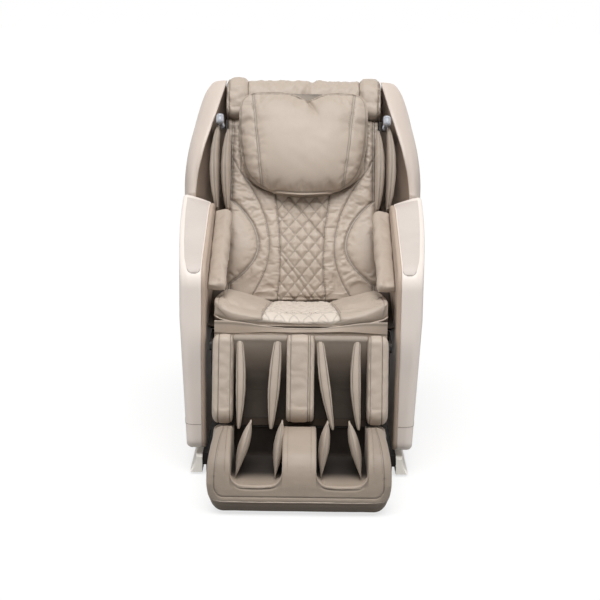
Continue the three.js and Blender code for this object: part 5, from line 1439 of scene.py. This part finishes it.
def cushion_section(t):
    """Outline of the arm cushion across X at t along it, and its height."""
    c = CUSHION
    y = c["front"] + (c["rear"] - c["front"]) * t
    top_front = float(arm_top(c["front"])) - c["drop_front"]
    top_rear = float(arm_top(c["rear"])) - c["drop_rear"]
    top = top_front + (top_rear - top_front) * t
    end = 1 - min(1.0, min(t * 380, (1 - t) * 380) / 12)
    draw = 12 * (1 - math.sqrt(max(0.0, 1 - end**2)))
    thick = c["thin"] + (c["thick"] - c["thin"]) * float(smoothstep(t, 0, 0.6))
    low, high = top - thick + draw, top + 3 - draw
    inner, outer = c["inner"] - 2 + draw, c["outer"] - 0.5
    tall = high - low
    soft = [min(r, k * tall) for r, k in ((5, 0.2), (22, 0.44), (20, 0.44), (4, 0.15))]
    outline = [
        (outer, low + 0.1 * tall),
        (outer, high - 0.2 * tall, soft[0]),
        (inner + 6, high, soft[1]),
        (inner, low, soft[2]),
        (outer - 16, low + 0.02 * tall, soft[3]),
    ]
    ring = even_outline(rounded(outline, 9), 72)
    wave = 1.3 * creases(ring[:, 0] * 0.6 + ring[:, 1], np.full(72, y), 66, 91) * (1 - end)
    ring = pushed_out(ring, np.array([(inner + outer) / 2, (low + high) / 2]), wave)
    ring[:, 0] = np.minimum(ring[:, 0], outer)
    return np.column_stack([ring[:, 0], np.full(72, y), ring[:, 1]])


def build_arm_cushions():
    stretches = ((0, 0.065, 12), (0.08, 0.92, 70), (0.935, 1, 12))
    steps = np.concatenate([np.linspace(*stretch) for stretch in stretches])
    rings = np.array([cushion_section(t) for t in steps])
    low_z = rings[..., 2].min(1, keepdims=True)
    rim = np.abs(rings[..., 2] - low_z - 9)
    inward = rings[..., 0] < (CUSHION["inner"] + CUSHION["outer"]) / 2 + 8
    # painted shade along the lower seam, through the seam attribute
    near = bell(rim, 1.8) * inward
    near = near * (smoothstep(steps, 0.01, 0.06) * smoothstep(1 - steps, 0.01, 0.06))[:, None]
    rings[..., 0] += 1.8 * near
    resting = smoothstep(rings[..., 0], CUSHION["outer"] - 3, CUSHION["outer"] - 1)
    held = np.maximum(smoothstep(near, 0.1, 0.5), resting)
    rings = inflated(rings, held, 4, (1, 2))
    lower = [ring[np.argmin(ring[:, 2] + 0.6 * ring[:, 0])] for ring in rings[2:-2]]
    piping = tube(spread(np.array(lower) + (-0.6, 0, -0.4), 5), 2.2)
    both_sides("arm_cushion_leather", loft(rings), LEATHER, SEAT, near, "arm_cushion")
    both_sides("arm_cushion_piping", piping, LEATHER, SEAT)


# ---------- Leg rest ----------

CALF = {"half": 257.5, "front": -62, "rear": 47.7, "top": 35, "bottom": -227, "back": 27.7}
BOLSTER = {"side": 62, "centre": 40.5, "round": 40}


def bolster_outline(rear, bottom, shoulder):
    """A bolster's side outline, which turns forward from its rear at the shoulder's height."""
    front, top, turn = CALF["front"], CALF["top"], BOLSTER["round"]
    corners = [(front, bottom, turn), (rear, bottom, 18), (rear, shoulder, 10)]
    corners += [(-8, top, 20), (front, top, turn)]
    return even_outline(rounded(corners, 10), 150)


def build_calf():
    c = CALF
    outline = bolster_outline(c["rear"] - 1.5, c["bottom"], c["top"] - 30)
    x0, x1 = c["half"] - BOLSTER["side"], c["half"]
    seams = [x0 + 9, x1 - 19]
    stations = add_seam_stations(end_stations(x0, x1, 11, 22, 3.5, 22), seams, 6)
    for name, sign, seed in (("left", 1, 101), ("right", -1, 102)):
        placed, sewn = [(sign * x, d) for x, d in stations], [sign * s for s in seams]
        rolled_block(f"calf_bolster_{name}", outline, placed, LEG, sewn, seed, 1.1, 3.2, puff=1.4)
    outline = bolster_outline(c["back"] - 1.8, c["bottom"] + 6, c["top"] - 26)
    w = BOLSTER["centre"]
    seams = [-w + 12, w - 18, w - 12]
    stations = add_seam_stations(end_stations(-w, w, 12, 12, 3.5), seams, 6)
    rolled_block("calf_bolster_centre", outline, stations, LEG, seams, 103, 1.0, 3.0, puff=1.4)


def build_calf_back():
    """The dark lining behind the channels, swept forward into a leather roll at the top of each."""
    c = CALF
    half = c["half"] - BOLSTER["side"] - 0.3
    foot, head = c["bottom"] - 8, c["top"] - 32
    corners = [(c["back"], foot), (c["rear"], foot), (c["rear"], head), (c["back"], head)]
    slab = rounded([(y, z, 3) for y, z in corners], 4)
    stations = ((-half, 1), (-half + 1, 0), (half - 1, 0), (half, 1))
    rings = [np.column_stack([np.full(len(slab), x), shrink(slab, d)]) for x, d in stations]
    piece("calf_back_lining", loft(rings), LINING, LEG, node="calf_back_pad")
    sweep = [(-46, 12), (-38, -2), (-25, -22), (-8, -48), (8, -80), (19, -120), (25, -165), (27, -214)]
    corners = [(c["front"] + 10, 20, 8)] + [(y, z, 9) for y, z in sweep]
    corners += [(c["back"] + 4, -216), (c["back"] + 6, -6), (c["rear"] - 2, c["top"] - 34, 4)]
    corners += [(-8, c["top"] - 3, 14), (c["front"] + 14, 33, 12)]
    outline = even_outline(rounded(corners, 8), 190)
    x0, x1 = BOLSTER["centre"] + 0.3, half
    for name, sign in (("left", 1), ("right", -1)):
        rings = []
        for x, draw in end_stations(x0, x1, 5, 5, 5):
            ring = inset(outline, min(draw, 1.5))
            wave = 1.4 * creases(ring[:, 1], np.full(len(ring), x), 75, 111 + sign)
            ring[:, 0] += wave * (ring[:, 0] < 20)
            ring[:, 1] += 1.2 * creases(np.full(len(ring), x), ring[:, 0] * 0, 110, 113 + sign)
            rings.append(at_x(sign * x, ring))
        rings = np.array(rings)
        # painted shade: the roll darkens down into the channel, blending into the dark lining behind it
        deep = (0.3 + 0.62 * smoothstep(-rings[..., 2], -14, 110)) * (rings[..., 1] < 40)
        roll = f"calf_channel_roll_{name}"
        piece(roll, loft(rings), LEATHER, LEG, deep=deep, node="calf_back_pad")


CALF_LEAF = {"top": 32, "bottom": -242, "front": -58}
# Each calf leaf: x at its foot and head, how far its middle bulges into the channel, and its thickness.
CALF_LEAVES = {
    "outer_right": (-179, -179, 5, 28),
    "inner_right": (-84, -66, -1, 35),
    "inner_left": (97, 56, -5, 31),
    "outer_left": (173, 167, -8, 30),
}


def plump(t, foot=0.5, head=0.3):
    """How full a long leaf is at t: pointed at its foot, narrow at its head and full over its middle."""
    return min(1.0, (t + 0.02) ** foot * 1.5) * min(1.0, (1.03 - t) ** head * 1.3)


def build_calf_leaves():
    s = CALF_LEAF
    for kind, (foot_x, head_x, bulge, thick) in CALF_LEAVES.items():

        def at(t):
            full = plump(t)
            x = foot_x + (head_x - foot_x) * t + bulge * math.sin(math.pi * t)
            return x, s["front"] + 26 * (1 - full), CALF["back"] - 0.3, thick * full

        node = f"calf_airbag_{kind}"
        build_leaf(node + "_leather", node, LEG, 321 + int(foot_x), s["bottom"], s["top"], 64, at, GUSSET)


# ---------- Foot unit ----------

FOOT_BODY = {"half": 260, "front": -650, "rear": -335, "bottom": 22, "sole": 92, "lip": 98, "top": 222}
WELL = {"inner": 48, "outer": 194, "rear": -366, "round": 8, "fillet": 34}
FOOT_EDGE = 20
FOOT_SEAM = {"x": 238, "low": 60, "corner": 26, "piping": 45}


def foot_profiles():
    """The body's side outline in three stretches, and a well's floor and back in place of the top one."""
    f = FOOT_BODY
    full = rounded(
        [
            (f["front"] + 17, f["bottom"] - 8),
            (f["front"] + 30, f["bottom"] - 8),
            (f["front"] + 34, f["bottom"]),
            (f["rear"], f["bottom"], 24),
            (f["rear"], 180, 24),
            (f["rear"] - 112, 193, 10),
            (f["rear"] - 140, f["top"] - 6, 16),
            (f["rear"] - 200, f["top"], 40),
            (f["front"] + 20, 170, 50),
            (f["front"], 110, 30),
            (f["front"] + 1, FOOT_SEAM["piping"] + 3, 5),
            (f["front"] + 6, FOOT_SEAM["piping"] - 3, 3),
        ],
        12,
    )
    high = int(np.argmin(np.hypot(full[:, 0] - f["rear"], full[:, 1] - 154)))
    front = int(np.argmin(np.hypot(full[:, 0] - f["front"], full[:, 1] - f["lip"] + 6)))
    over, low = full[high : front + 1], full[front:]
    well = rounded(
        [
            tuple(over[0]),
            (f["rear"], 181, 4),
            (WELL["rear"], 188, 5),
            (WELL["rear"], f["sole"], 10),
            (f["front"] + 30, f["sole"], 8),
            (f["front"] + 16, f["lip"] + 2, 8),
            (f["front"] + 2, f["lip"] + 1, 8),
            tuple(over[-1]),
        ],
        8,
    )

    def even(path, count):
        steps = np.linalg.norm(np.diff(path, axis=0), axis=1)
        return spread(path, steps.sum() / (count - 1))[:count]

    return spread(full[: high + 1], 6)[:-1], even(over, 190), even(well, 190), spread(low, 1.6)[1:]


def foot_seam_distance(x, z):
    """Distance from the seam that frames the front: up each side and along the bottom."""
    s = FOOT_SEAM
    aside, above = np.abs(x) - (s["x"] - s["corner"]), (s["low"] + s["corner"]) - z
    round_corner = np.hypot(np.maximum(aside, 0), np.maximum(above, 0)) - s["corner"]
    straight = np.minimum(np.maximum(aside, above), 0)
    return np.abs(round_corner + straight)


def foot_low(z):
    """0 at the swell of the body's sides to 1 at their foot."""
    return np.clip((96 - z) / 84, 0, 1)


def foot_draw(x, z):
    """How far the body's sides draw in, towards their rounded tops and low down."""
    return (foot_lean(z) + 17 * foot_low(z) ** 1.8) * smoothstep(np.abs(x), 196, FOOT_BODY["half"])


def foot_lean(z):
    """How far the body's outer sides draw in towards their rounded tops."""
    up = np.clip((z - 112) / 110, 0, 1)
    return 34 * (1 - np.sqrt(1 - up**2 * 0.96))


def foot_corner(x, z):
    """How far the front corners draw back, more towards their foot."""
    return 24 * smoothstep(np.abs(x), 205, 264) ** 2 * foot_low(z)


def build_foot():
    f, w = FOOT_BODY, WELL
    rest, over, well, low = foot_profiles()
    inner, outer, soft = w["inner"], w["outer"], w["round"]
    edge_in = [inner - soft * k for k in (1, 0.7, 0.45, 0.25, 0.1, 0.02)]
    edge_out = [outer + soft * k for k in (0.02, 0.1, 0.25, 0.45, 0.7, 1)]
    seam_x = [FOOT_SEAM["x"] + d for d in (-5, -2.5, -1.2, 0, 1.2, 2.5)]
    xs = list(np.linspace(0, inner - soft - 4, 9)) + edge_in + [inner, inner + 0.5]
    xs += list(inner + 0.5 + (outer - inner - 1) * (1 - np.cos(np.linspace(0.08, np.pi - 0.08, 44))) / 2)
    xs += [outer - 0.5, outer] + edge_out
    xs += list(np.linspace(outer + soft + 4, FOOT_SEAM["x"] - 9, 7)) + seam_x
    xs += [f["half"] - FOOT_EDGE * (1 - math.sin(a)) for a in np.linspace(0.32, np.pi / 2, 12)]
    rings, into_well, lips = [], [], []
    for x in xs:
        side = min(x - inner, outer - x)
        into = 1.0 if side >= 0 else 0.055 * (1 - math.sqrt(max(0.0, 1 - max(0.0, 1 + side / soft) ** 2)))
        floor = well.copy()
        if side >= 0:
            reach = max(0.0, 1 - side / w["fillet"])
            rise = w["fillet"] * (1 - math.sqrt(max(0.0, 1 - reach**2)))
            droop = 6 * (1 - (2 * side / (outer - inner) - 1) ** 2)
            floor[:, 1] += (rise - droop) * smoothstep(-floor[:, 0], 560, 628) * (floor[:, 1] < 130)
        line = over * (1 - into) + floor * into
        ring = np.concatenate([rest, line, low])
        out = max(0.0, x - (f["half"] - FOOT_EDGE)) / FOOT_EDGE
        ring = shrink(ring, FOOT_EDGE * 0.8 * (1 - math.sqrt(max(0.0, 1 - out**2))))
        rings.append(at_x(x, ring))
        inside = np.zeros(len(ring))
        if side >= 0:
            inside[len(rest) : len(rest) + len(line)] = 1
        into_well.append(inside)
        lips.append(f["lip"] - 9 + (rise - droop if side >= 0 else 400))
    half, inside = np.array(rings), np.array(into_well)
    x, y, z = half[..., 0], half[..., 1], half[..., 2]
    seam = foot_seam_distance(x, z)
    y += foot_corner(x, z) * (1 - smoothstep(y, f["front"] + 30, f["front"] + 150))
    x -= foot_draw(x, z)
    # painted shade in the framing seam, along the piping and under the wells' lips, through the seam
    # attribute
    sewn = bell(seam, 1.4) * (1 - inside)
    piping = bell(z - FOOT_SEAM["piping"], 1.3) * (y < f["front"] + 12)
    groove = 2.0 * bell(seam, 2.2) * (1 - inside) * (y < f["front"] + 130)
    y += groove * (z < 120)
    puff = 1.6 * creases(x, z, 120, 141) + 0.5 * creases(x, z, 40, 142)
    y += puff * (y < f["front"] + 60) * (1 - inside)
    # painted shade: darker deeper into each well and up its back, partly standing for the wells' dark cloth;
    # fainter on the outer lobes' fronts, stronger on the band below the piping
    deep = np.maximum(smoothstep(y, -615, -520), smoothstep(z, 112, 150) * 0.9)
    deep = inside * deep * (y > f["front"] + 14)
    lobe_shade = 0.16 * smoothstep(np.abs(x), 186, 214) * smoothstep(z, 80, 120)
    deep = np.maximum(deep, lobe_shade * (1 - inside) * (y < f["front"] + 190))
    band_shade = (z < FOOT_SEAM["piping"] - 3) * (y < f["front"] + 60)
    deep = np.maximum(deep, 0.42 * band_shade)
    lip = np.abs(z - np.array(lips)[:, None]) + 1e3 * (y > f["front"] + 9)
    y += 2.2 * bell(lip, 3.0)
    near = np.maximum.reduce([sewn, piping * 0.8, 0.75 * bell(lip, 2.2)])
    rings = np.concatenate([half[:0:-1] * (-1, 1, 1), half])
    near, deep = [np.concatenate([v[:0:-1], v]) for v in (near, deep)]
    part = loft(rings)
    piece("foot_shell_leather", part, LEATHER_FOOT_SHADED, FOOT, near, deep, node="foot_shell")
    build_foot_trim(over)


def build_foot_trim(over):
    """Stitches beside the wells and inside the framing seam, and the piping along the bottom."""
    f, w, foot = FOOT_BODY, WELL, FOOT_SEAM["piping"]
    crest = over[over[:, 0] < f["rear"] - 130][::-1]
    crest = crest[crest[:, 1] > f["lip"] + 34]
    thread = []
    for x in (w["inner"] - 15, w["outer"] + 15, FOOT_SEAM["x"] - 5):
        lean = foot_lean(crest[:, 1]) * smoothstep(x, 196, f["half"])
        line = np.column_stack([x - lean, crest[:, 0] - 0.4, crest[:, 1] + 0.3])
        thread += [line, line * (-1, 1, 1)]
    piece("foot_shell_stitches", stitches(thread, 5.2, 3.4, 0.6), THREAD, FOOT)
    x = np.linspace(-f["half"] + 14, f["half"] - 14, 90)
    bow = 1.4 * creases(x, 0 * x, 190, 151) + 5 * (np.abs(x) / f["half"]) ** 8
    y = f["front"] + 3.6 + foot_corner(x, foot)
    path = np.column_stack([x - np.sign(x) * foot_draw(x, foot), y, foot + bow])
    piece("foot_shell_piping", tube(path, 1.9), LEATHER, FOOT)


FOOT_LEAF = {"thick": 31, "bottom": 97, "top": 240}
# Each foot leaf: x at its foot and at its head.
FOOT_LEAVES = {
    "outer_right": (-180, -140),
    "inner_right": (-68, -50),
    "inner_left": (62, 80),
    "outer_left": (176, 142),
}


def build_foot_leaves():
    s = FOOT_LEAF
    root = WELL["rear"] - 0.3
    for kind, (foot_x, head_x) in FOOT_LEAVES.items():

        def at(t):
            full = math.sin(math.pi * min(0.97, max(0.03, t))) ** 0.75
            front, back = -594 + 54 * t - 12 * full, root - 34 - 96 * t**1.3
            return foot_x + (head_x - foot_x) * t, front, back, s["thick"] * full

        node = f"foot_airbag_{kind}"
        build_leaf(node + "_leather", node, FOOT, 331 + int(foot_x), s["bottom"], s["top"], 56, at, LENS)


# ---------- All pieces ----------

build_back_pad()
build_yoke()
build_pillow()
build_wings()
build_wing_linings()
build_wing_caps()
build_cover()
build_shoulder_airbags()
build_speakers()
build_seat()
build_gap_cloths()
build_tail()
build_flap()
build_side_panels()
build_linings()
build_arm_pads()
build_arm_cushions()
build_calf()
build_calf_back()
build_calf_leaves()
build_foot()
build_foot_leaves()

# ---------- Floor and light ----------


FLOOR = {"half": 60, "glow": 0.72, "bounce": 0.3}


def build_floor():
    """A wide plane: white with the object's shadow for the camera, a pale floor for the object's light."""
    material = bpy.data.materials.new("floor_pale")
    material.use_nodes = True
    tree = material.node_tree
    tree.nodes.clear()
    shadowed = add_node(tree, "BsdfDiffuse", (1, 1, 1, 1)).outputs[0]
    bounce = add_node(tree, "BsdfDiffuse", (*[FLOOR["bounce"]] * 3, 1)).outputs[0]
    glow = add_node(tree, "Emission").outputs[0]
    lit = add_node(tree, "MixShader", FLOOR["glow"], shadowed, glow).outputs[0]
    to_camera = add_node(tree, "LightPath").outputs["Is Camera Ray"]
    add_node(tree, "OutputMaterial", add_node(tree, "MixShader", to_camera, bounce, lit).outputs[0])
    mesh = bpy.data.meshes.new("floor")
    corners = [(x * FLOOR["half"], y * FLOOR["half"], 0) for x, y in ((-1, -1), (1, -1), (1, 1), (-1, 1))]
    mesh.from_pydata(corners, [], [(0, 1, 2, 3)])
    mesh.materials.append(material)
    floor = bpy.data.objects.new("floor", mesh)
    bpy.context.scene.collection.objects.link(floor)
    return floor


SUNS = {
    "key": {"turn": (27, 0, 0), "strength": 2.75, "angle": 40},
    "left": {"turn": (10, 70, 0), "strength": 0.9, "angle": 50},
    "right": {"turn": (10, -70, 0), "strength": 0.9, "angle": 50},
}


def build_lights():
    made = []
    for name, s in SUNS.items():
        data = bpy.data.lights.new("sun_" + name, "SUN")
        data.energy = s["strength"]
        data.angle = math.radians(s["angle"])
        sun = bpy.data.objects.new("sun_" + name, data)
        sun.rotation_euler = [math.radians(a) for a in s["turn"]]
        bpy.context.scene.collection.objects.link(sun)
        made.append(sun)
    return made


WORLD = {"ambient": 0.13, "seen": 1.0, "tint": (1, 0.93, 0.86, 1)}


def build_world():
    world = bpy.data.worlds.new("world")
    world.use_nodes = True
    tree = world.node_tree
    tree.nodes.clear()
    path = add_node(tree, "LightPath")
    seen = path.outputs["Is Camera Ray"]
    for extra in ("Is Glossy Ray", "Is Transmission Ray"):
        seen = add_node(tree, "Math", seen, path.outputs[extra], operation="MAXIMUM").outputs[0]
    ambient = add_node(tree, "Background", WORLD["tint"], WORLD["ambient"]).outputs[0]
    white = add_node(tree, "Background", (1, 1, 1, 1), WORLD["seen"]).outputs[0]
    add_node(tree, "OutputWorld", add_node(tree, "MixShader", seen, ambient, white).outputs[0])
    bpy.context.scene.world = world


floor = build_floor()
lights = build_lights()
build_world()
bpy.context.scene.view_settings.view_transform = "Standard"
